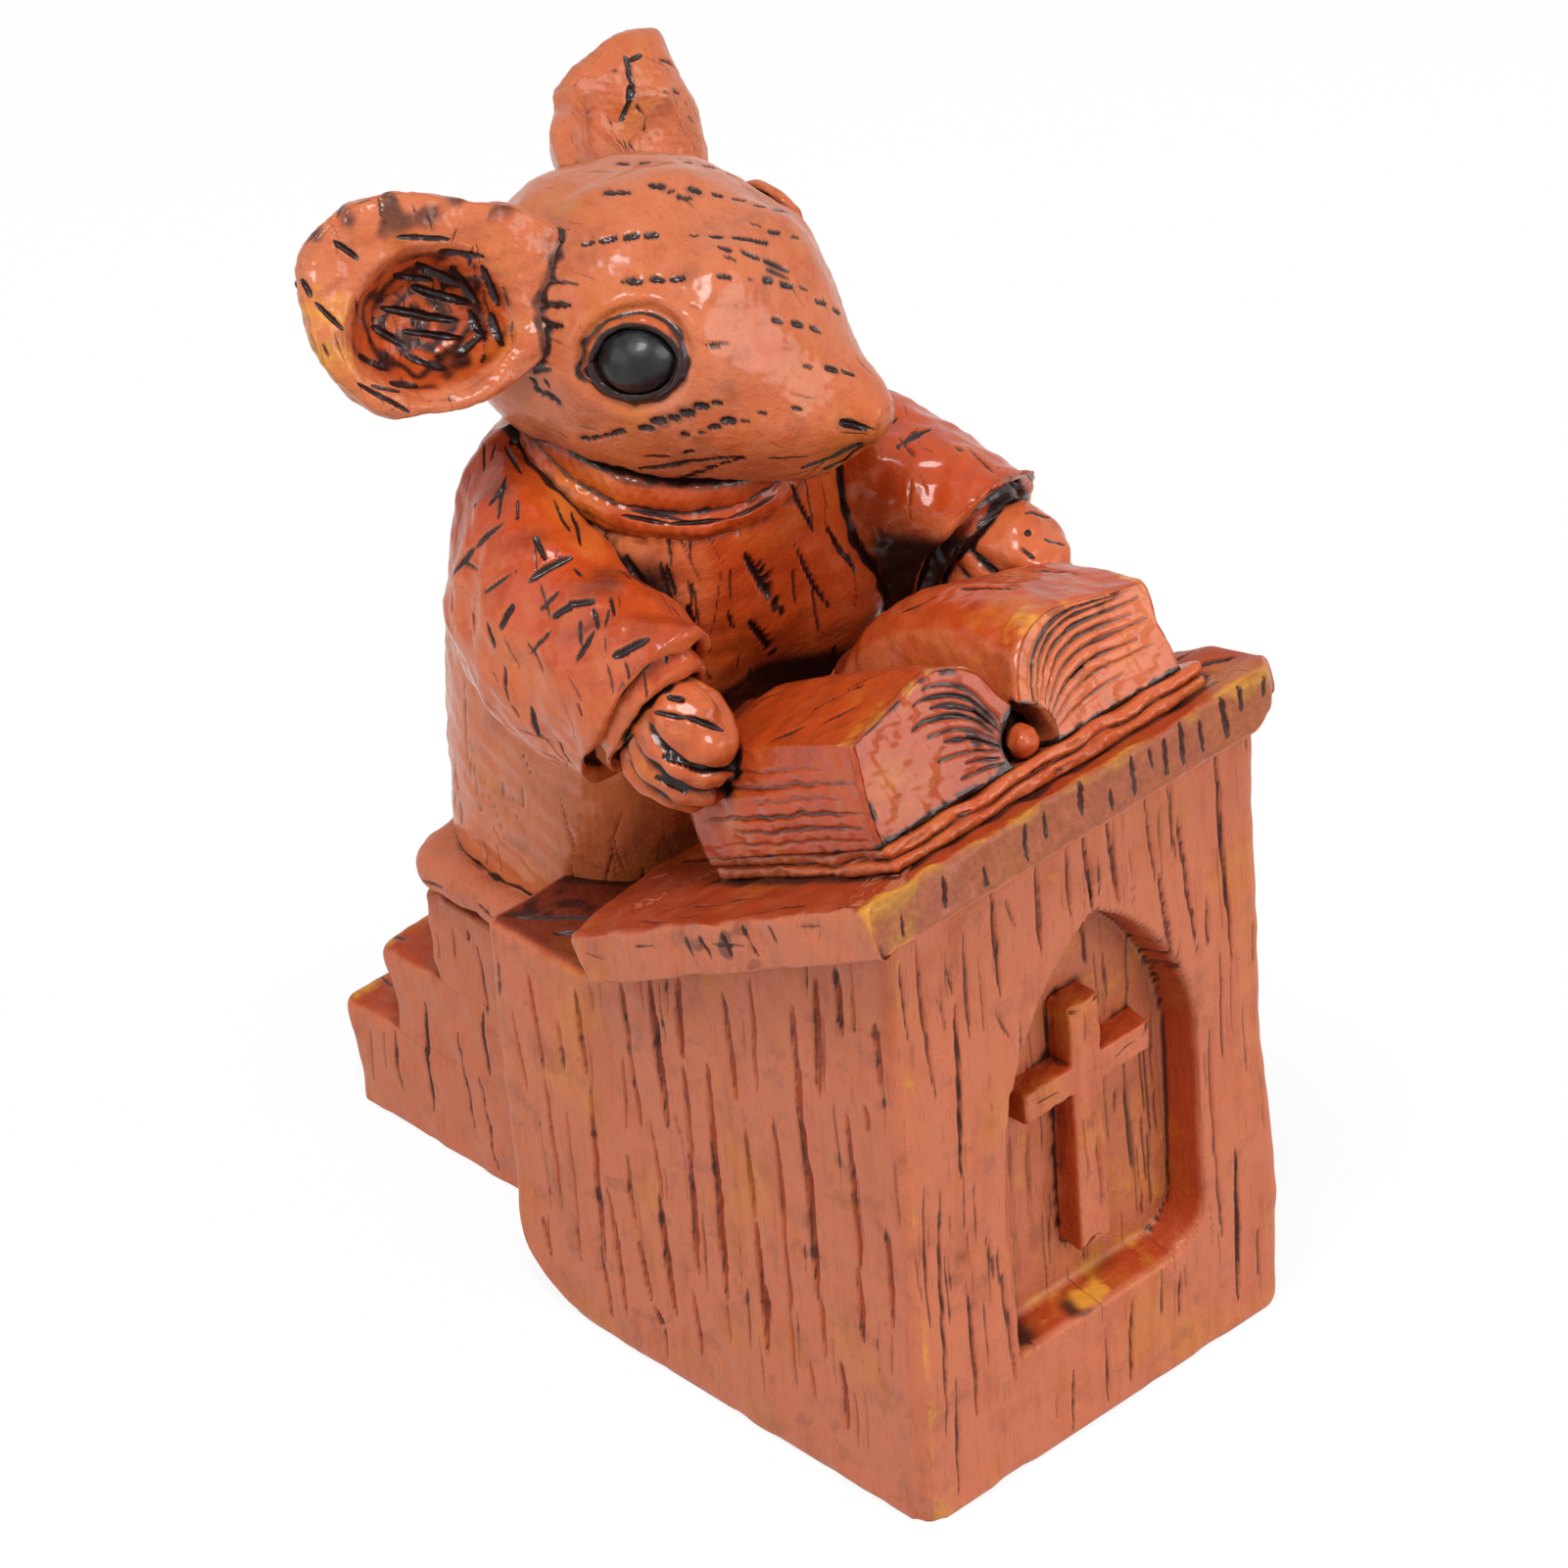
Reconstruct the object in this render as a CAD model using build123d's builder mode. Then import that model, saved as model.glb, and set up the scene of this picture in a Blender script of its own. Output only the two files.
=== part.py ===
from build123d import *
from math import cos, radians, sin, sqrt, tan
import os

os.makedirs("parts", exist_ok=True)

# A small cast ornament: a robed mouse reads an open book at a pulpit.
# The origin is at the middle of the pulpit's underside, the front faces -Y and
# up is +Z. Right and left are the mouse's own, so its right side is at -X.

# Pulpit box
pulpit_width = 27.0
pulpit_depth = 33.2
pulpit_front_height = 39.3
pulpit_ledge_height = 25.5
desk_slope = 28.6
pulpit_heel_radius = 4.5
pulpit_foot_radius = 1.2
pulpit_corner_radius = 0.7

# Arched recess and the cross in it
recess_width = 14.6
recess_offset = 1.2
recess_bottom = 7.8
recess_springing = 21.0
recess_depth = 2.7
recess_corner_radius = 3.0
cross_relief = 1.6
cross_height = 16.2
cross_bottom = 11.0
cross_post_width = 2.3
cross_arm_span = 9.5
cross_arm_height = 1.9
cross_arm_drop = 3.8
cross_edge_radius = 0.25

# Desk board
desk_thickness = 3.0
desk_front_overhang = 3.0
desk_right_overhang = 2.2
desk_left_overhang = 1.7
desk_rear_setback = 0.2
desk_front_undercut = 0.8
desk_front_cant = 1.7
desk_rear_cant_across = 7.0
desk_rear_cant_along = 3.4
desk_edge_radius = 0.35

# Open book
book_width = 23.6
book_rear_width = 20.0
book_offset = 0.3
book_setback = 2.6
cover_length = 18.8
cover_thickness = 1.5
cover_edge_radius = 0.3
page_right_width = 11.3
page_left_width = 10.9
page_rear_inset = 1.1
page_length = 17.6
page_setback = 0.5
page_height = 6.8
page_gutter_height = 3.0
spine_roll_radius = 0.95
spine_hollow_radius = 1.75
spine_roll_length = 3.0
spine_nose_flat = 0.15

# Steps behind the pulpit
stair_width = 15.5
tread_depths = (3.6, 4.3, 12.8)
tread_rises = (7.0, 5.5, 6.0)
tread_nosing_radius = 0.6
landing_width = 17.8
landing_depth = 12.6
landing_thickness = 1.9
landing_neck_height = 1.7
landing_neck_inset = 2.0
landing_edge_radius = 0.9
landing_corner_radius = 2.5

# Robe and its collar
robe_height = 32.0
robe_width = 18.8
robe_depth = 19.8
robe_middle = 18.0
robe_offset = 0.5
robe_corner_share = 0.64
collar_band = 1.5
collar_height = 51.6
collar_middle = 13.6
collar_tilt = 17.0
collar_bead_radius = 0.6

# Sleeves and hands
sleeve_width = 7.6
sleeve_drop = 13.4
sleeve_reach = 14.8
sleeve_right_height = 43.6
sleeve_left_height = 42.6
sleeve_right_spread = 10.8
sleeve_left_spread = 13.0
cuff_setback = 4.4
cuff_lean = 30.0
cuff_recess = 1.2
cuff_wall = 0.9
hand_length = 7.6
hand_width = 4.8
hand_height = 8.4
hand_right_rise = 0.5
hand_left_rise = 1.8
hand_grip_lean = 0.3
finger_groove_radius = 0.3

# Head and nose
head_length = 25.0
head_width = 18.0
head_height = 16.5
head_yaw = 19.0
head_pitch = 10.0
head_middle_x = 0.3
head_middle_y = 13.2
head_rise = 5.4
nose_width = 3.0

# Ears
ear_diameter = 12.9
ear_crown = 1.3
ear_back = 3.2
ear_root_length = 9.5
ear_root_width = 8.0
ear_dish_radius = 6.0
ear_dish_lift = 4.4

# Eyes
eye_diameter = 4.4
eye_sink = 0.85
eyelid_width = 0.9
seat_gap = 0.05

# One overrun for every cut
overrun = 1.0

slope = radians(desk_slope)
pulpit_front = -pulpit_depth / 2
pulpit_rear = pulpit_depth / 2
ledge_front = pulpit_front + (pulpit_front_height - pulpit_ledge_height) / tan(slope)
front_plane = Plane(origin=(0, pulpit_front, 0), x_dir=(1, 0, 0), z_dir=(0, -1, 0))

# Pulpit body: side outline carried across the width, then the pointed-arch recess
with BuildPart() as pulpit_body:
    with BuildSketch(Plane.YZ):
        with BuildLine():
            Polyline(
                (pulpit_front, 0),
                (pulpit_front, pulpit_front_height),
                (ledge_front, pulpit_ledge_height),
                (pulpit_rear, pulpit_ledge_height),
                (pulpit_rear, 0),
                close=True,
            )
        make_face()
    extrude(amount=pulpit_width / 2, both=True)
    heel = pulpit_body.edges().filter_by(Axis.X).group_by(Axis.Z)[0].sort_by(Axis.Y)
    fillet(heel[-1], radius=pulpit_heel_radius)
    fillet(pulpit_body.faces().sort_by(Axis.Z)[0].edges(), radius=pulpit_foot_radius)
    corners = pulpit_body.edges().filter_by(Axis.Z)
    fillet(corners, radius=pulpit_corner_radius)
    with BuildSketch(front_plane.offset(overrun)):
        with BuildLine():
            sill = Line(
                (recess_offset - recess_width / 2, recess_bottom),
                (recess_offset + recess_width / 2, recess_bottom),
            )
            right_jamb = Line(sill @ 1, ((sill @ 1).X, recess_springing))
            left_jamb = Line(sill @ 0, ((sill @ 0).X, recess_springing))
            apex = (recess_offset, recess_springing + recess_width * sqrt(3) / 2)
            RadiusArc(right_jamb @ 1, apex, -recess_width)
            RadiusArc(left_jamb @ 1, apex, recess_width)
        make_face()
        fillet(vertices().group_by(Axis.Y)[0].sort_by(Axis.X)[-1], radius=recess_corner_radius)
    extrude(amount=-(overrun + recess_depth), mode=Mode.SUBTRACT)

# Cross: a post and two arms that stand on the recess floor
with BuildPart() as pulpit_cross:
    with BuildSketch(front_plane.offset(-recess_depth)):
        with Locations((recess_offset, cross_bottom + cross_height / 2)):
            Rectangle(cross_post_width, cross_height)
        arm_middle = cross_bottom + cross_height - cross_arm_drop - cross_arm_height / 2
        with Locations((recess_offset, arm_middle)):
            Rectangle(cross_arm_span, cross_arm_height)
    extrude(amount=cross_relief)
    fillet(pulpit_cross.faces().sort_by(Axis.Y)[0].edges(), radius=cross_edge_radius)

# Desk board: lies on the slope, its ends canted in plan
desk_normal = (0, sin(slope), cos(slope))
desk_down = Plane(
    origin=(0, pulpit_front, pulpit_front_height), x_dir=(1, 0, 0), z_dir=desk_normal
)
desk_top = desk_down.offset(desk_thickness)
desk_front = -desk_front_overhang
desk_rear = (pulpit_front_height - pulpit_ledge_height) / sin(slope) - desk_rear_setback
desk_right = -(pulpit_width / 2 + desk_right_overhang)
desk_left = pulpit_width / 2 + desk_left_overhang
with BuildPart() as desk_slab:
    with BuildSketch(desk_down):
        with BuildLine():
            Polyline(
                (desk_right, desk_front),
                (desk_left - desk_front_cant, desk_front),
                (desk_left, desk_front + desk_front_cant),
                (desk_left, desk_rear - desk_rear_cant_along),
                (desk_left - desk_rear_cant_across, desk_rear),
                (desk_right + desk_rear_cant_across, desk_rear),
                (desk_right, desk_rear - desk_rear_cant_along),
                close=True,
            )
        make_face()
    extrude(amount=desk_thickness)
    undercut_plane = Plane(
        origin=desk_top.from_local_coords((0, desk_front, 0)), x_dir=(1, 0, 0),
        z_dir=desk_down.from_local_coords((0, -desk_thickness, -desk_front_undercut)) - desk_down.origin,
    )
    split(bisect_by=undercut_plane, keep=Keep.BOTTOM)
    fillet(desk_slab.faces().sort_by(Axis.Z)[-1].edges(), radius=desk_edge_radius)

# Book: a cover board on the desk, narrower at its far end
book_front = desk_front + book_setback
cover_front_half = book_width / 2
cover_rear_half = book_rear_width / 2
with BuildPart() as book_cover:
    with BuildSketch(desk_top):
        with BuildLine():
            Polyline(
                (book_offset - cover_front_half, book_front),
                (book_offset + cover_front_half, book_front),
                (book_offset + cover_rear_half, book_front + cover_length),
                (book_offset - cover_rear_half, book_front + cover_length),
                close=True,
            )
        make_face()
    extrude(amount=cover_thickness)
    fillet(book_cover.faces().sort_by(Axis.Z)[-1].edges(), radius=cover_edge_radius)

# Page blocks: each half swells up from the gutter and falls to its outer edge.
# The shares are (across the half, up the page height) from the gutter out.
page_crown_shares = ((0.03, 0.6), (0.13, 0.86), (0.24, 0.97), (0.4, 1.0), (0.58, 0.96), (0.94, 0.84))
page_front = book_front + page_setback
page_front_plane = Plane(
    origin=desk_top.from_local_coords((0, page_front, cover_thickness)),
    x_dir=(1, 0, 0),
    z_dir=desk_top.from_local_coords((0, -1, 0)) - desk_top.origin,
)


def page_block(side, front_half):
    """One half of the pages: a swelling outline drawn out along the desk."""
    with BuildPart() as block:
        for setback, half in ((0, front_half), (page_length, front_half - page_rear_inset)):
            with BuildSketch(page_front_plane.offset(-setback)):
                with BuildLine():
                    crown = [(side * across * half, up * page_height) for across, up in page_crown_shares]
                    foot = Line((0, 0), (side * half, 0))
                    Line(foot @ 1, crown[-1])
                    top = Spline(*reversed(crown))
                    fall = Line(top @ 1, (0, page_gutter_height))
                    Line(fall @ 1, foot @ 0)
                make_face()
        loft(ruled=True)
        with BuildSketch(page_front_plane.offset(overrun)):
            with Locations((0, spine_roll_radius)):
                Circle(spine_hollow_radius)
        extrude(amount=-(overrun + spine_roll_length), mode=Mode.SUBTRACT)
    return block


page_block_right = page_block(-1, page_right_width)
page_block_left = page_block(1, page_left_width)

# Rolled spine: a round-nosed plug that fills the back of the hollow
with BuildPart() as book_spine_roll:
    with BuildSketch(page_front_plane.offset(-spine_roll_length)):
        with Locations((0, spine_roll_radius)):
            Circle(spine_roll_radius)
    extrude(amount=spine_roll_length)
    fillet(
        book_spine_roll.faces().sort_by(Axis.Y)[0].edges(), radius=spine_roll_radius - spine_nose_flat
    )

# Steps: three blocks stacked on each other, then the landing slab on its neck
steps = []
step_foot = 0
step_depth = sum(tread_depths)
for tread_depth, tread_rise in zip(tread_depths, tread_rises):
    with BuildPart() as step:
        with BuildSketch(Plane.XY.offset(step_foot)):
            with Locations((0, pulpit_rear + step_depth / 2)):
                Rectangle(stair_width, step_depth)
        extrude(amount=tread_rise)
        nosing = step.faces().sort_by(Axis.Z)[-1].edges().filter_by(Axis.X).sort_by(Axis.Y)[-1]
        fillet(nosing, radius=tread_nosing_radius)
    steps.append(step)
    step_foot += tread_rise
    step_depth -= tread_depth
stair_bottom_step, stair_middle_step, stair_top_step = steps

landing_top = step_foot + landing_neck_height + landing_thickness
with BuildPart() as landing_slab:
    with BuildSketch(Plane.XY.offset(step_foot)):
        with Locations((0, pulpit_rear + (landing_depth - landing_neck_inset) / 2)):
            Rectangle(landing_width - landing_neck_inset * 2, landing_depth - landing_neck_inset)
    extrude(amount=landing_neck_height)
    with BuildSketch(Plane.XY.offset(landing_top - landing_thickness)):
        with Locations((0, pulpit_rear + landing_depth / 2)):
            Rectangle(landing_width, landing_depth)
        fillet(vertices().group_by(Axis.Y)[-1], radius=landing_corner_radius)
    extrude(amount=landing_thickness)
    rim = landing_slab.faces().sort_by(Axis.Z)[-1].edges()
    fillet(rim.sort_by(Axis.Y)[1:], radius=landing_edge_radius)

# Robe: ovals stacked from the landing to the neck, leaning over the desk.
# The shares are (up, forward of the middle, width, depth).
robe_shares = (
    (0.0, -0.15, 0.86, 0.82),
    (0.13, -0.12, 0.9, 0.9),
    (0.37, -0.04, 0.97, 0.97),
    (0.6, 0.06, 1.0, 1.0),
    (0.8, 0.12, 0.93, 0.9),
    (0.93, 0.16, 0.74, 0.72),
    (1.0, 0.19, 0.54, 0.54),
)
with BuildPart() as robe_body:
    for up, forward, wide, deep in robe_shares:
        with BuildSketch(Plane.XY.offset(landing_top + up * robe_height)):
            with Locations((robe_offset, robe_middle - forward * robe_depth)):
                corner = robe_corner_share * min(wide * robe_width, deep * robe_depth) / 2
                RectangleRounded(wide * robe_width, deep * robe_depth, corner)
    loft()
    for neighbour in (pulpit_body, desk_slab, book_cover, page_block_right, page_block_left):
        add(neighbour.part, mode=Mode.SUBTRACT)

# Head: ovals along the line from the back of the skull to the nose. Its middle is
# a rise above the top of the robe, so it stays on the neck.
# The shares are (along, width, height, lift).
head_shares = (
    (0.0, 0.14, 0.14, -0.1),
    (0.024, 0.38, 0.38, -0.1),
    (0.075, 0.58, 0.57, -0.09),
    (0.143, 0.75, 0.75, -0.08),
    (0.29, 0.95, 0.95, -0.05),
    (0.42, 1.0, 1.0, -0.03),
    (0.54, 0.95, 0.95, -0.045),
    (0.655, 0.88, 0.89, -0.03),
    (0.738, 0.72, 0.72, -0.07),
    (0.805, 0.58, 0.58, -0.106),
    (0.88, 0.41, 0.42, -0.144),
    (0.937, 0.29, 0.3, -0.137),
    (1.0, 0.14, 0.15, -0.11),
)
head_skull_share = 0.46
yaw = radians(head_yaw)
pitch = radians(head_pitch)
head_plane = Plane(
    origin=(head_middle_x, head_middle_y, landing_top + robe_height + head_rise),
    x_dir=(cos(yaw), sin(yaw), 0),
    z_dir=(sin(yaw) * cos(pitch), -cos(yaw) * cos(pitch), -sin(pitch)),
)


def head_point(left, up, forward):
    """A place in the head, in shares of half its width and height and of its length."""
    return head_plane.from_local_coords(
        (left * head_width / 2, up * head_height / 2, forward * head_length)
    )


def head_vector(left, up, forward):
    """A direction in the head's own axes."""
    return head_plane.from_local_coords((left, up, forward)) - head_plane.origin


# Eyes: round beads sunk in sockets, each in a raised ring of lid
eye_place_shares = (0.87, 0.29, 0.095)
eye_look_shares = (0.92, 0.32, 0.22)
eye_radius = eye_diameter / 2


def eye_plane(side):
    """The plane of the lid: it lies on the cheek and looks out, up and forward."""
    left, up, forward = eye_place_shares
    look_left, look_up, look_forward = eye_look_shares
    return Plane(
        origin=head_point(side * left, up, forward),
        z_dir=head_vector(side * look_left, look_up, look_forward),
    )


with BuildPart() as head:
    for along, wide, high, lift in head_shares:
        with BuildSketch(head_plane.offset((along - head_skull_share) * head_length)):
            with Locations((0, lift * head_height)):
                Ellipse(wide * head_width / 2, high * head_height / 2)
    loft()
    for side in (-1, 1):
        with Locations(eye_plane(side).offset(-eye_sink)):
            Sphere(eye_radius + seat_gap, mode=Mode.SUBTRACT)
    add(robe_body.part, mode=Mode.SUBTRACT)


def eye(side):
    """A bead with its middle a little below the skin."""
    with BuildPart() as bead:
        with Locations(eye_plane(side).offset(-eye_sink)):
            Sphere(eye_radius)
    return bead


def eyelid(side):
    """A ring that rises from the skin round the bead."""
    with BuildPart() as ring:
        with Locations(eye_plane(side)):
            Torus(eye_radius, eyelid_width / 2)
        with Locations(eye_plane(side).offset(-eye_sink)):
            Sphere(eye_radius + seat_gap, mode=Mode.SUBTRACT)
        add(head.part, mode=Mode.SUBTRACT)
    return ring


eye_right, eye_left = eye(-1), eye(1)
eyelid_right, eyelid_left = eyelid(-1), eyelid(1)

# Nose: a ball on the tip of the snout
nose_lift_share = -0.2
nose_reach_share = 0.52
with BuildPart() as nose:
    with Locations(head_point(0, nose_lift_share, nose_reach_share)):
        Sphere(nose_width / 2)
    add(head.part, mode=Mode.SUBTRACT)

# Ears: a dished round cup with a domed back, on a root that runs into the skull.
# Places and facings are (left, up, forward); the back and front are rim shares.
ear_place_shares = {-1: (1.26, 0.41, -0.372), 1: (1.2, 0.13, -0.33)}
ear_face_shares = {-1: (0.56, 0.58, 0.59), 1: (0.36, 0.5, 0.78)}
ear_root_shares = (0.2, 0.2, -0.2)
ear_radius = ear_diameter / 2
ear_back_share = 0.72
ear_front_share = 0.84


def ear(side):
    """A cup turned about its own axis, then its root, then the dish."""
    left, up, forward = ear_place_shares[side]
    face_left, face_up, face_forward = ear_face_shares[side]
    root_left, root_up, root_forward = ear_root_shares
    middle = head_point(side * left, up, forward)
    face = head_vector(side * face_left, face_up, face_forward)
    root = head_point(side * root_left, root_up, root_forward)
    inward = (root - middle) - face * (root - middle).dot(face) / face.length**2
    cup_plane = Plane(origin=middle, x_dir=inward, z_dir=face)
    with BuildPart() as cup:
        with BuildSketch(Plane(origin=middle, x_dir=inward, z_dir=inward.cross(face))):
            with BuildLine():
                axis_line = Line((0, ear_crown), (0, -ear_back))
                back = Spline(
                    axis_line @ 1, (-ear_radius * ear_back_share, -ear_back / 2), (-ear_radius, 0),
                    tangents=((-1, 0), (0, 1)),
                )
                Spline(back @ 1, (-ear_radius * ear_front_share, ear_crown), tangents=((0, 1), (1, 0)))
                Line((-ear_radius * ear_front_share, ear_crown), axis_line @ 0)
            make_face()
        revolve(axis=Axis(middle, face), revolution_arc=360)
        with BuildSketch(cup_plane.offset(-ear_back / 2)):
            with Locations((ear_root_length / 2, 0)):
                Ellipse(ear_root_length / 2, ear_root_width / 2)
        extrude(amount=ear_back / 2 + ear_crown / 2)
        with Locations(cup_plane.offset(ear_crown + ear_dish_lift)):
            Sphere(ear_dish_radius, mode=Mode.SUBTRACT)
        add(head.part, mode=Mode.SUBTRACT)
    return cup


ear_right, ear_left = ear(-1), ear(1)

# Collar: two rounded rings that lean forward round the neck, sized from the robe.
# The shares are those of the robe's width and depth.
collar_width_share, collar_depth_share = 0.755, 0.687
collar_width = robe_width * collar_width_share
collar_depth = robe_depth * collar_depth_share
collar_plane = Plane(
    origin=(0, collar_middle, collar_height),
    x_dir=(1, 0, 0),
    z_dir=(0, -sin(radians(collar_tilt)), cos(radians(collar_tilt))),
)
with BuildPart() as robe_collar:
    for ring, spread in ((0, collar_band), (1, 0)):
        with BuildSketch(collar_plane.offset(ring * collar_band)):
            Ellipse(collar_width / 2 + spread, collar_depth / 2 + spread)
        extrude(amount=collar_band)
    fillet(robe_collar.edges().filter_by(GeomType.ELLIPSE), radius=collar_bead_radius)
    for neighbour in (robe_body, head):
        add(neighbour.part, mode=Mode.SUBTRACT)

# Sleeves: ovals from inside the shoulder to the open cuff, each arm at its own place.
sleeve_height = {-1: sleeve_right_height, 1: sleeve_left_height}
sleeve_spread = {-1: sleeve_right_spread, 1: sleeve_left_spread}
hand_rise = {-1: hand_right_rise, 1: hand_left_rise}
# The shares are (side, back, rise, half width, half height, lean).
sleeve_shares = (
    (0.66, 1.0, 0.42, 0.72, 0.6, 0.5),
    (0.86, 0.8, 0.24, 0.94, 0.86, 0.7),
    (0.98, 0.45, 0.1, 1.04, 0.96, 0.85),
    (1.0, 0.0, 0.0, 1.0, 1.0, 1.0),
)


def cuff_plane(side, spread=1, back=0, rise=0, lean=1):
    """A section of the sleeve, leaning back at its foot."""
    tilt = radians(lean * cuff_lean)
    return Plane(
        origin=(
            side * spread * sleeve_spread[side],
            cuff_setback + back * sleeve_reach,
            sleeve_height[side] + rise * sleeve_drop,
        ),
        x_dir=(1, 0, 0),
        z_dir=(0, -cos(tilt), -sin(tilt)),
    )


def sleeve(side):
    """A wide sleeve with a shallow open cuff."""
    with BuildPart() as arm:
        for spread, back, rise, wide, high, lean in sleeve_shares:
            with BuildSketch(cuff_plane(side, spread, back, rise, lean)):
                Ellipse(wide * sleeve_width / 2, high * sleeve_drop / 2)
        loft()
        with BuildSketch(cuff_plane(side).offset(overrun)):
            Ellipse(sleeve_width / 2 - cuff_wall, sleeve_drop / 2 - cuff_wall)
        extrude(amount=-(overrun + cuff_recess), mode=Mode.SUBTRACT)
        for neighbour in (
            robe_body, robe_collar, desk_slab, book_cover, page_block_right, page_block_left, head,
        ):
            add(neighbour.part, mode=Mode.SUBTRACT)
    return arm


sleeve_right, sleeve_left = sleeve(-1), sleeve(1)

# Hands: a wrist that fills the cuff, a swelling fist and grooves between the fingers.
# The shares are (forward, half width, half height).
hand_shares = ((0.0, 0.5, 0.52), (0.2, 0.86, 0.84), (0.5, 1.0, 1.0), (0.78, 0.82, 0.84), (1.0, 0.4, 0.45))
finger_gap_shares = (-0.45, 0.0, 0.45)


def hand(side, arm):
    """A fist that reaches out of its cuff to the edge of the pages."""
    wrist_plane = cuff_plane(side).offset(-cuff_recess)
    with BuildPart() as fist:
        for forward, wide, high in hand_shares:
            with BuildSketch(wrist_plane.offset(forward * hand_length)):
                with Locations((0, forward * hand_rise[side])):
                    Ellipse(wide * hand_width / 2, high * hand_height / 2)
        loft()
        for gap in finger_gap_shares:
            knuckle = wrist_plane.from_local_coords((0, gap * hand_height / 2, hand_length / 2))
            with Locations(Plane(origin=knuckle, x_dir=(1, 0, 0), z_dir=(0, hand_grip_lean, 1))):
                Torus(hand_width / 2 + finger_groove_radius, finger_groove_radius, mode=Mode.SUBTRACT)
        for neighbour in (
            arm, robe_body, desk_slab, book_cover, page_block_right, page_block_left,
        ):
            add(neighbour.part, mode=Mode.SUBTRACT)
    return fist


hand_right, hand_left = hand(-1, sleeve_right), hand(1, sleeve_left)

pieces = dict(
    pulpit_body=pulpit_body, pulpit_cross=pulpit_cross, desk_slab=desk_slab, book_cover=book_cover,
    page_block_right=page_block_right, page_block_left=page_block_left, book_spine_roll=book_spine_roll,
    stair_bottom_step=stair_bottom_step, stair_middle_step=stair_middle_step,
    stair_top_step=stair_top_step, landing_slab=landing_slab, robe_body=robe_body,
    robe_collar=robe_collar, sleeve_right=sleeve_right, sleeve_left=sleeve_left,
    hand_right=hand_right, hand_left=hand_left, head=head, nose=nose, ear_right=ear_right,
    ear_left=ear_left, eye_right=eye_right, eye_left=eye_left, eyelid_right=eyelid_right,
    eyelid_left=eyelid_left,
)
for name, piece in pieces.items():
    piece.part.label = name
    export_step(piece.part, "parts/" + name + ".step")
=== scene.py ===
# %% [markdown]
# The object is a small cast ornament: a robed mouse reads an open book at a pulpit.
# The real thing is resin, cast from a carved model, brushed with a dark wash that
# stays in the cuts, dry-brushed with ochre on the edges and then lacquered. The solids
# come in first as a fixed frame, and every surface below is worked out round them.

# %% Load the frame
import math

import bpy
import numpy as np
from mathutils import Matrix


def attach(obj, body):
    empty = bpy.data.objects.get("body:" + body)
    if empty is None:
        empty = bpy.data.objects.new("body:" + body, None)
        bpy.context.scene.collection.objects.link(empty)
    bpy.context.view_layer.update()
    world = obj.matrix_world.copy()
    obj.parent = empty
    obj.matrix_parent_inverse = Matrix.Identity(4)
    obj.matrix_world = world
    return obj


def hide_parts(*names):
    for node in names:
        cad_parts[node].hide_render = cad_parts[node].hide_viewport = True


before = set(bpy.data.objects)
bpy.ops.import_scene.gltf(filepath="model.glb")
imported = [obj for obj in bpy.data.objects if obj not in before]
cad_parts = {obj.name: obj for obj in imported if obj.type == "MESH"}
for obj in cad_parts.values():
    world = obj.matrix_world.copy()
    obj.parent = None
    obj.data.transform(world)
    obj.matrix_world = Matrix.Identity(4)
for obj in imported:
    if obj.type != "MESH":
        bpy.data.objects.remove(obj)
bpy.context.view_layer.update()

MM = 0.001
print("frame holds", len(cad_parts), "solids")

# %% [markdown]
# The camera could be placed by eye, but a figurine this small shows strong
# perspective, so its angles, distance and aim were fitted to corners of the pulpit.
# Its axes come from turning about the vertical, tipping down and rolling a little.

# %% Camera


def stand(thing, sideways, upwards, backwards, place):
    """Puts a camera or a lamp at a place in metres; it looks against `backwards`."""
    pose = np.eye(4)
    pose[:3, :3] = np.stack([sideways, upwards, backwards], 1)
    pose[:3, 3] = place
    thing.matrix_world = Matrix(pose.tolist())
    bpy.context.scene.collection.objects.link(thing)


turn, tip, roll = np.radians([-40.722, 34.334, -4.612])
aim_right, aim_up, stand_off = -6.315, 28.733, 495.0
back = np.array([math.sin(turn) * math.cos(tip), -math.cos(turn) * math.cos(tip), math.sin(tip)])
level = np.array([math.cos(turn), math.sin(turn), 0.0])
upright = np.cross(back, level)
right = level * math.cos(roll) + upright * math.sin(roll)
up = upright * math.cos(roll) - level * math.sin(roll)
lens = bpy.data.cameras.new("camera")
lens.sensor_fit, lens.sensor_width, lens.lens, lens.clip_start = "HORIZONTAL", 36.0, 202.37, 0.02
camera = bpy.data.objects.new("camera", lens)
eye_place = (right * aim_right + up * aim_up + back * stand_off) * MM
stand(camera, right, up, back, eye_place)
bpy.context.scene.camera = camera
print("camera stands at", np.round(eye_place, 4))

# %% [markdown]
# Rooms, lamps and paints are all built from nodes, and a long list of node calls hides
# what they do. This small board adds a node, fills its sockets and gives back its
# result, so that a shader below reads like a sum.

# %% A board for nodes


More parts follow.
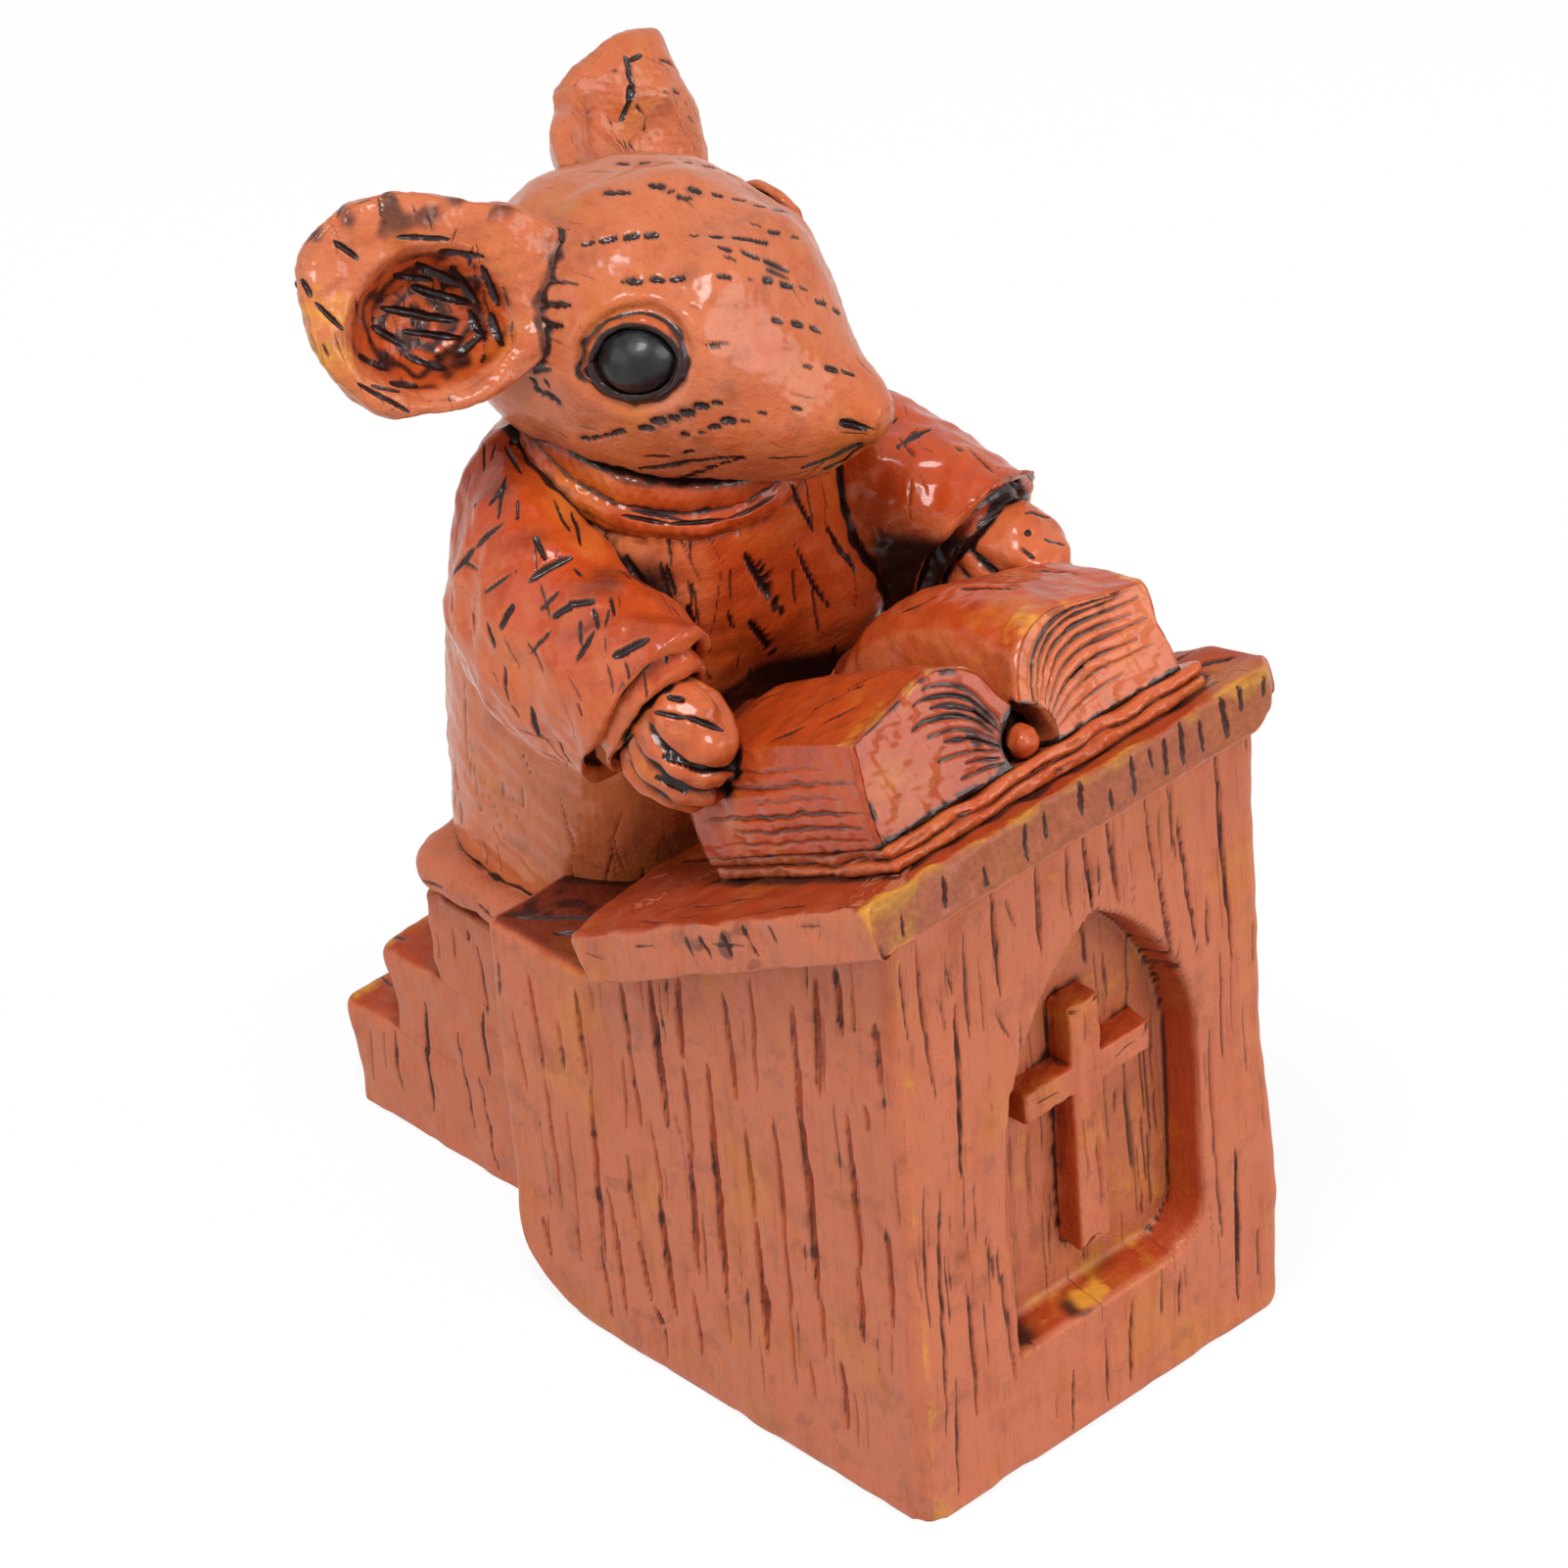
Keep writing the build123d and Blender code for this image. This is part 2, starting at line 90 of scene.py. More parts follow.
class Board:
    """Short ways to add nodes to one tree and join them as they are made."""

    def __init__(self, tree):
        self.tree = tree

    def add(self, kind, sockets=None, **settings):
        """A new node with its settings, and its sockets joined or written."""
        node = self.tree.nodes.new(kind)
        for key, value in settings.items():
            setattr(node, key, value)
        for key, value in (sockets or {}).items():
            self.put(value, node.inputs[key])
        return node

    def put(self, value, socket):
        """Joins a socket or writes a plain number or colour."""
        if hasattr(value, "is_output"):
            self.tree.links.new(value, socket)
        else:
            socket.default_value = value

    def sum(self, how, one, two):
        return self.add("ShaderNodeMath", {0: one, 1: two}, operation=how).outputs[0]

    def plus(self, one, two):
        return self.sum("ADD", one, two)

    def times(self, one, two):
        return self.sum("MULTIPLY", one, two)

    def swing(self, value, reach):
        """A noise moved to lie round 0: its value less a half, times a reach."""
        return self.times(self.sum("SUBTRACT", value, 0.5), reach)

    def step(self, value, low, high):
        """A soft step of a value from low to high."""
        ends = {"Value": value, "From Min": low, "From Max": high}
        return self.add("ShaderNodeMapRange", ends, interpolation_type="SMOOTHSTEP").outputs["Result"]

    def blend(self, share, one, two):
        """A colour that is the first at a share of 0 and the second at 1."""
        return self.add("ShaderNodeMix", {0: share, 6: one, 7: two}, data_type="RGBA").outputs[2]

    def noise(self, where, scale, detail, rough):
        sockets = {"Vector": where, "Scale": scale, "Detail": detail, "Roughness": rough}
        return self.add("ShaderNodeTexNoise", sockets).outputs["Fac"]

    def mask(self, name):
        return self.add("ShaderNodeAttribute", attribute_name=name).outputs["Fac"]

    def millimetres(self):
        """The object's own coordinates, in millimetres."""
        here = self.add("ShaderNodeTexCoord").outputs["Object"]
        return self.add("ShaderNodeVectorMath", {0: here, "Scale": 1 / MM}, operation="SCALE").outputs[0]

    def seen_directly(self):
        """A value that is 1 for rays from the lens, from gloss and through glass."""
        path = self.add("ShaderNodeLightPath").outputs
        lens_or_gloss = self.sum("MAXIMUM", path["Is Camera Ray"], path["Is Glossy Ray"])
        return self.sum("MAXIMUM", lens_or_gloss, path["Is Transmission Ray"])

    def surface(self, shader, kind="ShaderNodeOutputMaterial"):
        """Ends the tree with a shader as its surface."""
        self.add(kind, {"Surface": shader.outputs[0]})


def board_for(owner):
    """A cleared board on the node tree of a world or a material."""
    owner.use_nodes = True
    owner.node_tree.nodes.clear()
    return Board(owner.node_tree)


# %% [markdown]
# A white table and a white room light the real thing, with a large soft lamp above.
# The room could be a lit box, but a plain world does as well: it is seen as white by
# the lens and in the lacquer, and lights the rest gently.

# %% Room, table and lamps
bpy.context.scene.view_settings.view_transform = "Standard"
white, warm_white, paper_white = (1.0, 1.0, 1.0, 1), (1.0, 0.985, 0.97, 1), (0.86, 0.86, 0.86, 1)
room_light, table_glow, table_reach = 0.34, 0.9, 6.0

room = bpy.data.worlds.new("room")
bpy.context.scene.world = room
m = board_for(room)
dim = m.add("ShaderNodeBackground", {"Color": warm_white, "Strength": room_light})
bright = m.add("ShaderNodeBackground", {"Color": white, "Strength": 1.0})
pick = m.add("ShaderNodeMixShader", {0: m.seen_directly(), 1: dim.outputs[0], 2: bright.outputs[0]})
m.surface(pick, "ShaderNodeOutputWorld")

paper = bpy.data.materials.new("white_table")
m = board_for(paper)
matt, glow = m.add("ShaderNodeBsdfDiffuse", {"Color": paper_white}), m.add("ShaderNodeEmission")
share = m.times(m.seen_directly(), table_glow)
m.surface(m.add("ShaderNodeMixShader", {0: share, 1: matt.outputs[0], 2: glow.outputs[0]}))
table_top = bpy.data.meshes.new("table")
corners = [(x * table_reach, y * table_reach, 0) for x, y in ((-1, -1), (1, -1), (1, 1), (-1, 1))]
table_top.from_pydata(corners, [], [(0, 1, 2, 3)])
table_top.materials.append(paper)
table = bpy.data.objects.new("table", table_top)
bpy.context.scene.collection.objects.link(table)


def lamp(name, place, size, power, colour=(1, 1, 1)):
    """A square soft lamp that looks at the middle of the figurine."""
    light = bpy.data.lights.new(name, "AREA")
    light.size, light.energy, light.color = size, power, colour
    axis = np.array(place) - [0, 0, 0.035]
    axis /= np.linalg.norm(axis)
    side = np.cross([0.0, 0.0, 1.0], axis)
    side /= np.linalg.norm(side)
    stand(bpy.data.objects.new(name, light), side, np.cross(axis, side), axis, place)


lamp("key_lamp", (-0.16, -0.12, 0.50), 0.17, 2.3)
lamp("side_lamp", (-0.42, 0.12, 0.22), 0.34, 0.6, (1.0, 0.98, 0.96))
lamp("far_lamp", (0.20, -0.42, 0.22), 0.30, 1.45, (1.0, 0.99, 0.97))
print("lit by three soft lamps and a room of strength", room_light)

# %% [markdown]
# Every piece below is a net of points worked out as whole arrays, in millimetres.
# These are the few sums they all need: directions of length one, a soft step, slow
# lumps like those a thumb leaves, and the net's own triangles, normals and bend.

# %% Sums for surfaces


def unit(v):
    """Each vector over its own length."""
    return v / np.maximum(np.linalg.norm(v, axis=-1, keepdims=True), 1e-12)


def ease(x, low, high):
    """0 below low, 1 above high and a soft S between: t squared times (3 - 2t)."""
    t = np.clip((x - low) / (high - low), 0, 1)
    return t * t * (3 - 2 * t)


def bell(x, middle, width):
    """1 at the middle and less on both sides: e to minus the square of the offset over
    the width."""
    return np.exp(-((x - middle) / width) ** 2)


def lumps(points, size, seed):
    """A smooth lumpy value, mostly within -1 and 1: the sum of 16 cosine waves that run
    in random directions and are about `size` mm long, over the root of their number."""
    rng = np.random.default_rng(seed)
    total = np.zeros(points.shape[:-1])
    for _ in range(16):
        way = unit(rng.normal(size=points.shape[-1]))
        total += np.cos(points @ way * (2 * math.pi / (size * rng.uniform(0.6, 1.6))) + rng.uniform(0, 6.3))
    return total / 4


def flow(points, t):
    """A smooth curve through points: between two of them a cubic blend whose slopes are
    half the step from the point before to the point after. t runs from 0 to 1, and a
    whole number of steps may be given instead."""
    t = np.linspace(0, 1, t) if isinstance(t, int) else np.asarray(t, float)
    p = np.asarray(points, float)
    p = np.concatenate([2 * p[:1] - p[1:2], p, 2 * p[-1:] - p[-2:-1]])
    s = np.clip(t, 0, 1) * (len(p) - 3)
    k = np.minimum(s.astype(int), len(p) - 4)
    f = (s - k)[..., None]
    a, b, c, d = p[k], p[k + 1], p[k + 2], p[k + 3]
    return b + 0.5 * f * (c - a + f * (2 * a - 5 * b + 4 * c - d + f * (3 * (b - c) + d - a)))


def even(points, count):
    """`count` points evenly spaced along the line through the given ones."""
    p = np.asarray(points, float)
    run = np.concatenate([[0], np.cumsum(np.linalg.norm(np.diff(p, axis=0), axis=1))])
    at = np.linspace(0, run[-1], count)
    return np.stack([np.interp(at, run, p[:, k]) for k in range(p.shape[1])], 1)


def net_tris(rows, columns, ring=True):
    """Two triangles for each cell of a net; a ring's last column meets its first."""
    r, c = np.meshgrid(np.arange(rows - 1), np.arange(columns if ring else columns - 1), indexing="ij")
    a, b = r * columns + c, r * columns + (c + 1) % columns
    first, second = np.stack([a, b, b + columns], -1), np.stack([a, b + columns, a + columns], -1)
    return np.concatenate([first.reshape(-1, 3), second.reshape(-1, 3)])


def weld(points, tris, *fields):
    """Joins points that lie within a ten-thousandth of a millimetre, drops triangles
    that close up, and turns the shell right side out by the sign of its volume."""
    near = np.round(points * 1e4).astype(np.int64)
    _, first, back_to = np.unique(near, axis=0, return_index=True, return_inverse=True)
    tris = back_to.ravel()[tris]
    whole = (tris[:, 0] != tris[:, 1]) & (tris[:, 1] != tris[:, 2]) & (tris[:, 2] != tris[:, 0])
    tris, points = tris[whole], points[first]
    a, b, c = points[tris].transpose(1, 0, 2)
    if np.einsum("ij,ij->", a, np.cross(b, c)) < 0:
        tris = tris[:, ::-1]
    return (points, tris) + tuple(f[first] for f in fields)


def shell(grid, *fields):
    """A net of closed rows as one welded skin."""
    return weld(grid.reshape(-1, 3), net_tris(*grid.shape[:2]), *fields)


def normals_of(points, tris):
    """The mean of the normals of the triangles round each point, by area."""
    a, b, c = points[tris].transpose(1, 0, 2)
    face = np.repeat(np.cross(b - a, c - a), 3, axis=0)
    return unit(np.stack([np.bincount(tris.ravel(), face[:, k], len(points)) for k in range(3)], 1))


def bend_of(points, tris, normals, passes=12):
    """How sharply the skin bends, in 1/mm: for each neighbour, twice its drop below the
    point's own plane over its squared distance. Ridges are above 0, creases below, and
    each pass blends a point with its neighbours."""
    edges = np.concatenate([tris[:, [0, 1]], tris[:, [1, 2]], tris[:, [2, 0]]])
    here, there = edges[:, 0], edges[:, 1]
    step = points[there] - points[here]
    drop = -2 * np.einsum("ij,ij->i", step, normals[here]) / np.maximum((step * step).sum(1), 1e-6)
    count = np.maximum(np.bincount(here, minlength=len(points)), 1)
    bend = np.bincount(here, drop, len(points)) / count
    for _ in range(passes):
        bend = (bend + np.bincount(here, bend[there], len(points)) / count) / 2
    return bend


# %% [markdown]
# The carver's marks are the same all over: pointed gouges, deepest in the middle,
# with ragged lips, and needle pits. They are sunk into the skin itself rather than
# faked with shading, because they show at the edges and catch the lacquer's light.

# %% Gouges


def carve(spots, cuts, where=None, skin_normals=None):
    """How deep in mm, and how stained from 0 to 1, each of the spots lies under the cuts.
    A cut is its two ends, half width, depth and stain. At a share t of its length its
    half width is the middle's times the root of 4t(1 - t), and its depth is the middle's
    times one less the square of the distance over that half width. A blunt share keeps
    the ends and the shortest cuts round. Given the skin's normals, the distance is
    measured along the skin, so that a cut follows its bend."""
    deep, dark = np.zeros(len(spots)), np.zeros(len(spots))
    if not len(cuts):
        return deep, dark
    ragged = 0.35 * lumps(spots, 0.9, 5) + 0.25 * lumps(spots, 0.35, 6)
    k = spots.shape[1]
    for row in np.asarray(cuts, float):
        start, end, (half, depth, stain) = row[:k], row[k:2 * k], row[2 * k:]
        edge = 2.2 * half + (0.0 if skin_normals is None else 0.7)
        near = ((spots > np.minimum(start, end) - edge) & (spots < np.maximum(start, end) + edge)).all(1)
        near = np.nonzero(near if where is None else near & where)[0]
        if not len(near):
            continue
        run = end - start
        length = max(float(np.linalg.norm(run)), 1e-6)
        t = np.clip((spots[near] - start) @ run / length**2, 0, 1)
        aside = spots[near] - start - t[:, None] * run
        if skin_normals is not None:
            aside = aside - skin_normals[near] * (aside * skin_normals[near]).sum(1, keepdims=True)
        off = np.linalg.norm(aside, axis=1)
        blunt = half / (length + 2 * half)
        taper = np.sqrt(np.clip(4 * (t + blunt) * (1 + blunt - t), 0, 1))
        wide = np.maximum(half * taper * (1 + ragged[near] * 0.2), 0.02)
        rest = np.clip(1 - (off / wide) ** 2, 0, 1)
        ends = np.sqrt(np.clip(4 * t * (1 - t) + blunt, 0, 1))
        deep[near] = np.maximum(deep[near], depth * rest * ends)
        dark[near] = np.maximum(dark[near], stain * np.clip(2.2 * (1.12 - off / wide), 0, 1))
    return deep, dark


def carve_sides(*jobs):
    """The deepest and the darkest of several carvings, each with its spots, marks, where
    they hold, and numbers that multiply their widths, depths and stains."""
    deep, dark = zip(*(carve(spots, gouge_rows(marks, *sizes), where) for spots, marks, where, *sizes in jobs))
    return np.max(deep, axis=0), np.max(dark, axis=0)


def gouge_rows(marks, width=1.0, depth=1.0, stain=1.0):
    """Full cuts from short marks, each two ends and a size. A size-1 mark is 0.10 mm wide
    on each side and 0.105 deep, and each size more adds 0.037 and 0.055 mm. The last
    three numbers multiply the widths, depths and stains."""
    m = np.array(marks, float)
    size = m[:, -1]
    rows = [(0.065 + 0.037 * size) * width, (0.05 + 0.055 * size) * depth,
            np.minimum(0.42 + 0.13 * size, 1.0) * stain]
    return np.column_stack([m[:, :-1], *rows])


def scattered(count, low, high, length, size, seed, lean=0.04, upright=True):
    """Random marks within the box from low to high, with lengths and sizes in ranges."""
    rng = np.random.default_rng(seed)
    a = rng.uniform(low[0], high[0], count)
    b = rng.uniform(low[1], high[1], count)
    run = rng.uniform(*length, count)
    tilt = rng.normal(0, lean, count) * run
    da, db = (tilt, run) if upright else (run, tilt)
    return np.column_stack([a - da / 2, b - db / 2, a + da / 2, b + db / 2, rng.uniform(*size, count)])


# %% [markdown]
# A piece becomes a mesh only once its points are final. It then carries three masks
# that its paint reads: one for the dark brown wash, which also carries painted shade in
# creases, hollows, joins and under things; one for the dry-brushed ochre, which also
# paints light into a shaded recess; and warm where the redder stain is. Ridges get the
# ochre, and creases get the dark wash together with painted shade.

# %% From points to pieces
kept = []


def write_mask(layer, values):
    """Writes one number from 0 to 1 for each point into a mesh's layer."""
    layer.data.foreach_set("value", np.clip(values, 0, 1).astype(np.float32))


def piece(name, points, tris, paint, node, wash_and_shade=0.0, wear_and_light=0.0, warm=0.5,
          ridge_share=0.15, crease_share=0.4, join_share=0.8):
    """Makes the mesh, paints its masks, puts it on the root body and hides its solid."""
    bend = bend_of(points, tris, normals_of(points, tris))
    every = np.ones(len(points))
    # The ochre mask takes the ridges; the wash mask takes the creases as dark wash and painted shade.
    worn = np.clip(wear_and_light + ridge_share * ease(bend, 0.3, 1.2), 0, 1) * every
    washed_and_shaded = np.clip(wash_and_shade + crease_share * ease(-bend, 0.3, 1.2), 0, 1) * every
    mesh = bpy.data.meshes.new(name)
    mesh.from_pydata(points * MM, [], tris)
    for mask, values in (("wash_and_shade", washed_and_shaded), ("wear_and_light", worn), ("warm", warm * every)):
        write_mask(mesh.attributes.new(mask, "FLOAT", "POINT"), values)
    mesh.polygons.foreach_set("use_smooth", np.ones(len(mesh.polygons), bool))
    mesh.materials.append(paint)
    thing = bpy.data.objects.new(name, mesh)
    bpy.context.scene.collection.objects.link(thing)
    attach(thing, "root")
    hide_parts(node)
    kept.append((mesh, points, washed_and_shaded, join_share))
    low, high = points.min(0), points.max(0)
    print(f"{name}: {len(tris)} triangles, from {np.round(low, 1)} to {np.round(high, 1)} mm")


# %% [markdown]
# The paint is one layered skin in every material: a pale salmon body colour with a
# redder stain, ochre dry-brushing, then a dark wash. The wash's mask also carries painted
# shade, and the ochre's mask some painted light. All of it is broken up by noise in
# millimetres on the object's own coordinates. A shader group builds it once, and each
# material gives it colours; gloss and lacquer stay in the material itself.

# %% Paint group
skin = bpy.data.node_groups.new("painted_resin", "ShaderNodeTree")
for way, kind, names in (("INPUT", "Color", ("Pale", "Warm", "Ochre", "Dark")),
                         ("INPUT", "Float", ("Warmth", "Grain")), ("INPUT", "Vector", ("Along",)),
                         ("OUTPUT", "Color", ("Colour",)), ("OUTPUT", "Float", ("Roughness", "Height"))):
    for name in names:
        skin.interface.new_socket(name, in_out=way, socket_type="NodeSocket" + kind)

b = Board(skin)
given = b.add("NodeGroupInput").outputs
spot = b.millimetres()
clouds, blots = b.noise(spot, 0.16, 4, 0.55), b.noise(spot, 0.55, 5, 0.62)
grit, dust = b.noise(spot, 2.6, 4, 0.65), b.noise(spot, 7.0, 3, 0.6)
fibre = b.add("ShaderNodeMapping", {"Vector": spot, "Scale": given["Along"]}).outputs[0]
threads, streaks = b.noise(fibre, 4.2, 5, 0.62), b.noise(fibre, 0.9, 4, 0.6)

# The body colour: pale salmon to red stain, with ochre clouds and dark grain threads.
warmth = b.plus(b.times(b.mask("warm"), 1.15), b.swing(clouds, 1.5))
warmth = b.plus(b.plus(warmth, b.swing(blots, 0.7)), given["Warmth"])
warmth = b.plus(warmth, b.swing(streaks, b.plus(0.6, b.times(given["Grain"], 0.8))))
colour = b.blend(b.step(warmth, 0.0, 1.15), given["Pale"], given["Warm"])
colour = b.blend(b.times(b.step(clouds, 0.5, 0.75), 0.3), colour, given["Ochre"])
grained = b.times(b.times(b.step(threads, 0.56, 0.68), given["Grain"]), 0.38)
colour = b.blend(grained, colour, given["Dark"])

# Dry-brushed ochre, which in the recess also paints light, then the dark wash with the painted shade its mask carries,
# specks and a thin brown film over all.
worn = b.step(b.plus(b.mask("wear_and_light"), b.swing(blots, 1.5)), 0.3, 0.8)
colour = b.blend(b.times(worn, 0.85), colour, given["Ochre"])
speck = b.times(b.times(b.step(dust, 0.64, 0.69), b.step(blots, 0.48, 0.62)), 0.7)
film = b.times(b.step(b.noise(spot, 0.3, 6, 0.72), 0.5, 0.72), 0.3)
stained_and_shaded = b.step(b.plus(b.times(b.mask("wash_and_shade"), 1.2), b.swing(grit, 0.35)), 0.12, 0.95)
stained_and_shaded = b.sum("MAXIMUM", stained_and_shaded, b.sum("MAXIMUM", speck, film))
rough = b.sum("SUBTRACT", b.plus(0.42, b.times(grit, 0.25)), b.times(stained_and_shaded, 0.15))
height = b.plus(b.plus(b.times(grit, 0.7), b.times(dust, 0.3)), b.times(blots, 0.45))
height = b.plus(height, b.times(b.times(threads, given["Grain"]), 1.2))
b.add("NodeGroupOutput", {"Colour": b.blend(stained_and_shaded, colour, given["Dark"]), "Roughness": rough, "Height": height})
print("painted_resin has", len(skin.nodes), "nodes")

# %% [markdown]
# Two colour schemes and three finishes cover the whole figurine: satin on the pulpit,
# gloss on the robe and book, and gloss with a fur grain on the head. Each is a plain
# shader that reads the group, so that its lacquer can be set apart.

# %% Materials


def lacquered(m, colour, rough, height, depth, bump_strength, gloss):
    """Ends a material with one shader, given its gloss and a bump `depth` mm deep."""
    bump = m.add("ShaderNodeBump", {"Strength": bump_strength, "Distance": depth * MM, "Height": height})
    sockets = {"Base Color": colour, "Roughness": rough, "Normal": bump.outputs["Normal"]}
    m.surface(m.add("ShaderNodeBsdfPrincipled", {**sockets, **gloss}))


def painted(name, pale, warm, dark, warmth, grain, along, lacquer, lacquer_rough, depth):
    """A material of this skin: its colours go into the group, its gloss on the shader."""
    material = bpy.data.materials.new(name)
    m = board_for(material)
    ochre = (0.60, 0.26, 0.03, 1)
    sockets = {"Pale": (*pale, 1), "Warm": (*warm, 1), "Ochre": ochre, "Dark": (*dark, 1),
               "Warmth": warmth, "Grain": grain, "Along": along}
    paint = m.add("ShaderNodeGroup", node_tree=skin)
    for key, value in sockets.items():
        m.put(value, paint.inputs[key])
    gloss = {"Specular IOR Level": 0.12, "Coat Weight": lacquer, "Coat IOR": 1.4, "Coat Roughness": lacquer_rough}
    lacquered(m, *[paint.outputs[key] for key in ("Colour", "Roughness", "Height")], depth, 1.0, gloss)
    return material


upright_fibre, fur_fibre = (1, 1, 0.08), (1, 0.16, 1)
satin = painted("satin_salmon", (0.46, 0.126, 0.058), (0.33, 0.038, 0.007), (0.045, 0.011, 0.007),
                -0.05, 0.6, upright_fibre, 0.25, 0.26, 0.11)
glossy = painted("glossy_red", (0.52, 0.130, 0.042), (0.40, 0.046, 0.005), (0.016, 0.005, 0.004),
                 0.0, 0.25, upright_fibre, 0.65, 0.16, 0.10)
furry = painted("glossy_fur", (0.47, 0.130, 0.052), (0.38, 0.052, 0.007), (0.018, 0.005, 0.004),
                0.0, 0.4, fur_fibre, 0.6, 0.17, 0.11)
bead = bpy.data.materials.new("black_bead_lacquer")
m = board_for(bead)
dusty = m.noise(m.millimetres(), 0.9, 4, 0.6)
black = m.blend(m.step(dusty, 0.35, 0.75), (0.004, 0.004, 0.005, 1), (0.014, 0.013, 0.016, 1))
lacquered(m, black, m.plus(0.2, m.times(dusty, 0.35)), dusty, 0.05, 0.6,
          {"Specular IOR Level": 0.25, "Coat Weight": 0.16, "Coat Roughness": 0.12})
print("finishes:", ", ".join(paint.name for paint in (satin, glossy, furry, bead)))

# %% [markdown]
# Boxes with round corners come up again and again here: the pulpit, the desk, the
# steps. Each is a closed outline that is carried up through rows, pulled in a little
# where an edge is round, and at last drawn in to a line across its middle to close it.
# A modifier could bevel plain boxes, but rows also give the cells that carving needs.

# %% Outlines and ring shells


def round_outline(corners, radii, gaps):
    """A closed outline, counter-clockwise, with an arc at each corner that touches both
    sides. Each side has its own gap between points. Gives points and outward normals."""
    corners = np.array(corners, float)
    arcs = []
    for k, here in enumerate(corners):
        back_way, on_way = unit(corners[k - 1] - here), unit(corners[(k + 1) % len(corners)] - here)
        turned = 1 if back_way[1] * on_way[0] - back_way[0] * on_way[1] > 0 else -1
        half = math.acos(float(np.clip(back_way @ on_way, -1, 1))) / 2
        middle = here + unit(back_way + on_way) * radii[k] / math.sin(half)
        first = here + back_way * radii[k] / math.tan(half) - middle
        sweep = (math.pi - 2 * half) * turned
        count = max(4, int(abs(sweep) * radii[k] / 0.12) + 1)
        t = np.linspace(0, sweep, count) + math.atan2(first[1], first[0])
        way = np.stack([np.cos(t), np.sin(t)], 1)
        arcs.append((middle + way * radii[k], way * turned))
    points, ways = [], []
    for k, (arc, way) in enumerate(arcs):
        run = arcs[(k + 1) % len(arcs)][0][0] - arc[-1]
        count = max(2, int(np.linalg.norm(run) / gaps[k]))
        t = np.linspace(0, 1, count + 1)[1:-1, None]
        side = unit(run)
        points += [arc, arc[-1] + t * run]
        ways += [way, np.repeat([[side[1], -side[0]]], len(t), 0)]
    return np.concatenate(points), np.concatenate(ways)


def ring_rows(outline, ways, spine, rows):
    """Rows of an outline: each is pulled in by `inset` along its normals, drawn to the
    spine by a share and given a height, which may be worked out from its second axis."""
    grid = []
    for inset, share, height in rows:
        q = outline - ways * inset
        q = q + (spine - q) * share
        grid.append(np.column_stack([q, height(q[:, 1]) if callable(height) else height * np.ones(len(q))]))
    return np.array(grid)


def drawn(inset, shares, height):
    """Flat rows that are drawn to the spine by each of the shares."""
    return [(inset, share, height) for share in shares]


def inward(inset, steps, height):
    """Flat rows, each a step further in than the inset."""
    return [(inset + step, 0, height) for step in steps]


def upward(heights):
    """Rows of a straight side."""
    return [(0, 0, height) for height in heights]


def over_edge(radius, height, angles):
    """Rows of a quarter round that starts at a height and turns in over the top."""
    return [(radius * (1 - math.cos(a)), 0, height + radius * math.sin(a)) for a in angles]


def under_edge(radius, height, angles):
    """Rows of a quarter round that comes out from under a piece, up from a height."""
    return [(radius * (1 - math.sin(a)), 0, height + radius * (1 - math.cos(a))) for a in angles]


# %% [markdown]
# The pulpit is a block with a sloping top, a rounded heel at the back, and a pointed
# recess in front. The recess could be cut with a boolean, but its lip would be too
# sharp and plain. Instead the front's net is drawn towards the arch's outline, so that
# a band of its cells stands up as the wall, and the same net carries the gouges.

# %% Pulpit block
half_width, half_depth, front_height, ledge = 13.5, 16.6, 39.3, 25.5
slope = math.radians(28.6)
heel, foot_round, top_round = 6.2, 0.7, 0.5


def top_of(y):
    """The sloping top: down from the front edge, then level with the ledge."""
    return np.clip(front_height - (y + half_depth) * math.tan(slope), ledge, front_height)


def foot_of(y):
    """The underside: flat, then a quarter round up the heel."""
    over = np.clip(y - (half_depth - heel), 0, heel)
    return heel - np.sqrt(heel**2 - over**2)


corners = [(x * half_width, y * half_depth) for x, y in ((-1, -1), (1, -1), (1, 1), (-1, 1))]
outline, ways = round_outline(corners, [0.8] * 4, (0.13, 0.21, 0.8, 0.125))
spine = np.column_stack([np.zeros(len(outline)), np.clip(outline[:, 1], -3, 3)])
low, high = foot_of(outline[:, 1]), top_of(outline[:, 1])
rows = drawn(foot_round, (1.0, 0.6, 0.3, 0.1, 0.03), foot_of)
spans = ((0, 0.03, 6), (0.03, 0.30, 36), (0.30, 0.72, 34), (0.72, 0.9, 24), (0.9, 1, 10))
for v in np.unique(np.concatenate([np.linspace(*span) for span in spans])):
    z = low + (high - low) * v
    near_foot = np.clip(foot_round - (z - low), 0, foot_round)
    near_top = np.clip(top_round - (high - z), 0, top_round)
    inset = foot_round - np.sqrt(foot_round**2 - near_foot**2) + top_round - np.sqrt(top_round**2 - near_top**2)
    rows.append((inset[:, None], 0, z))
rows += drawn(top_round, (*np.linspace(0.03, 0.6, 22), 0.8, 1.0), top_of)
grid = ring_rows(outline, ways, spine, rows)
print("pulpit net of", grid.shape[0], "rows and", grid.shape[1], "columns")

# %% Pulpit recess
arch_left, arch_right, arch_sill, arch_spring, arch_deep = -6.1, 8.5, 7.8, 21.0, 2.7
band, reach_out, lean_in = 0.6, 1.9, 0.35


def arch_distance(x, z):
    """How far a point of the front is outside the pointed arch (below 0 inside): above
    the springing the larger distance to the two circles, below it a box whose lower
    right corner is a 3 mm round and whose left one is a small round."""
    to_circles = np.maximum(np.hypot(x - arch_left, z - arch_spring), np.hypot(x - arch_right, z - arch_spring))
    r = np.where(x > 1.2, 3.0, 0.7)
    side = np.maximum(x - arch_right, arch_left - x) + r
    under = arch_sill - z + r
    below = np.hypot(np.maximum(side, 0), np.maximum(under, 0)) + np.minimum(np.maximum(side, under), 0) - r
    return np.where(z > arch_spring, to_circles - (arch_right - arch_left), below)


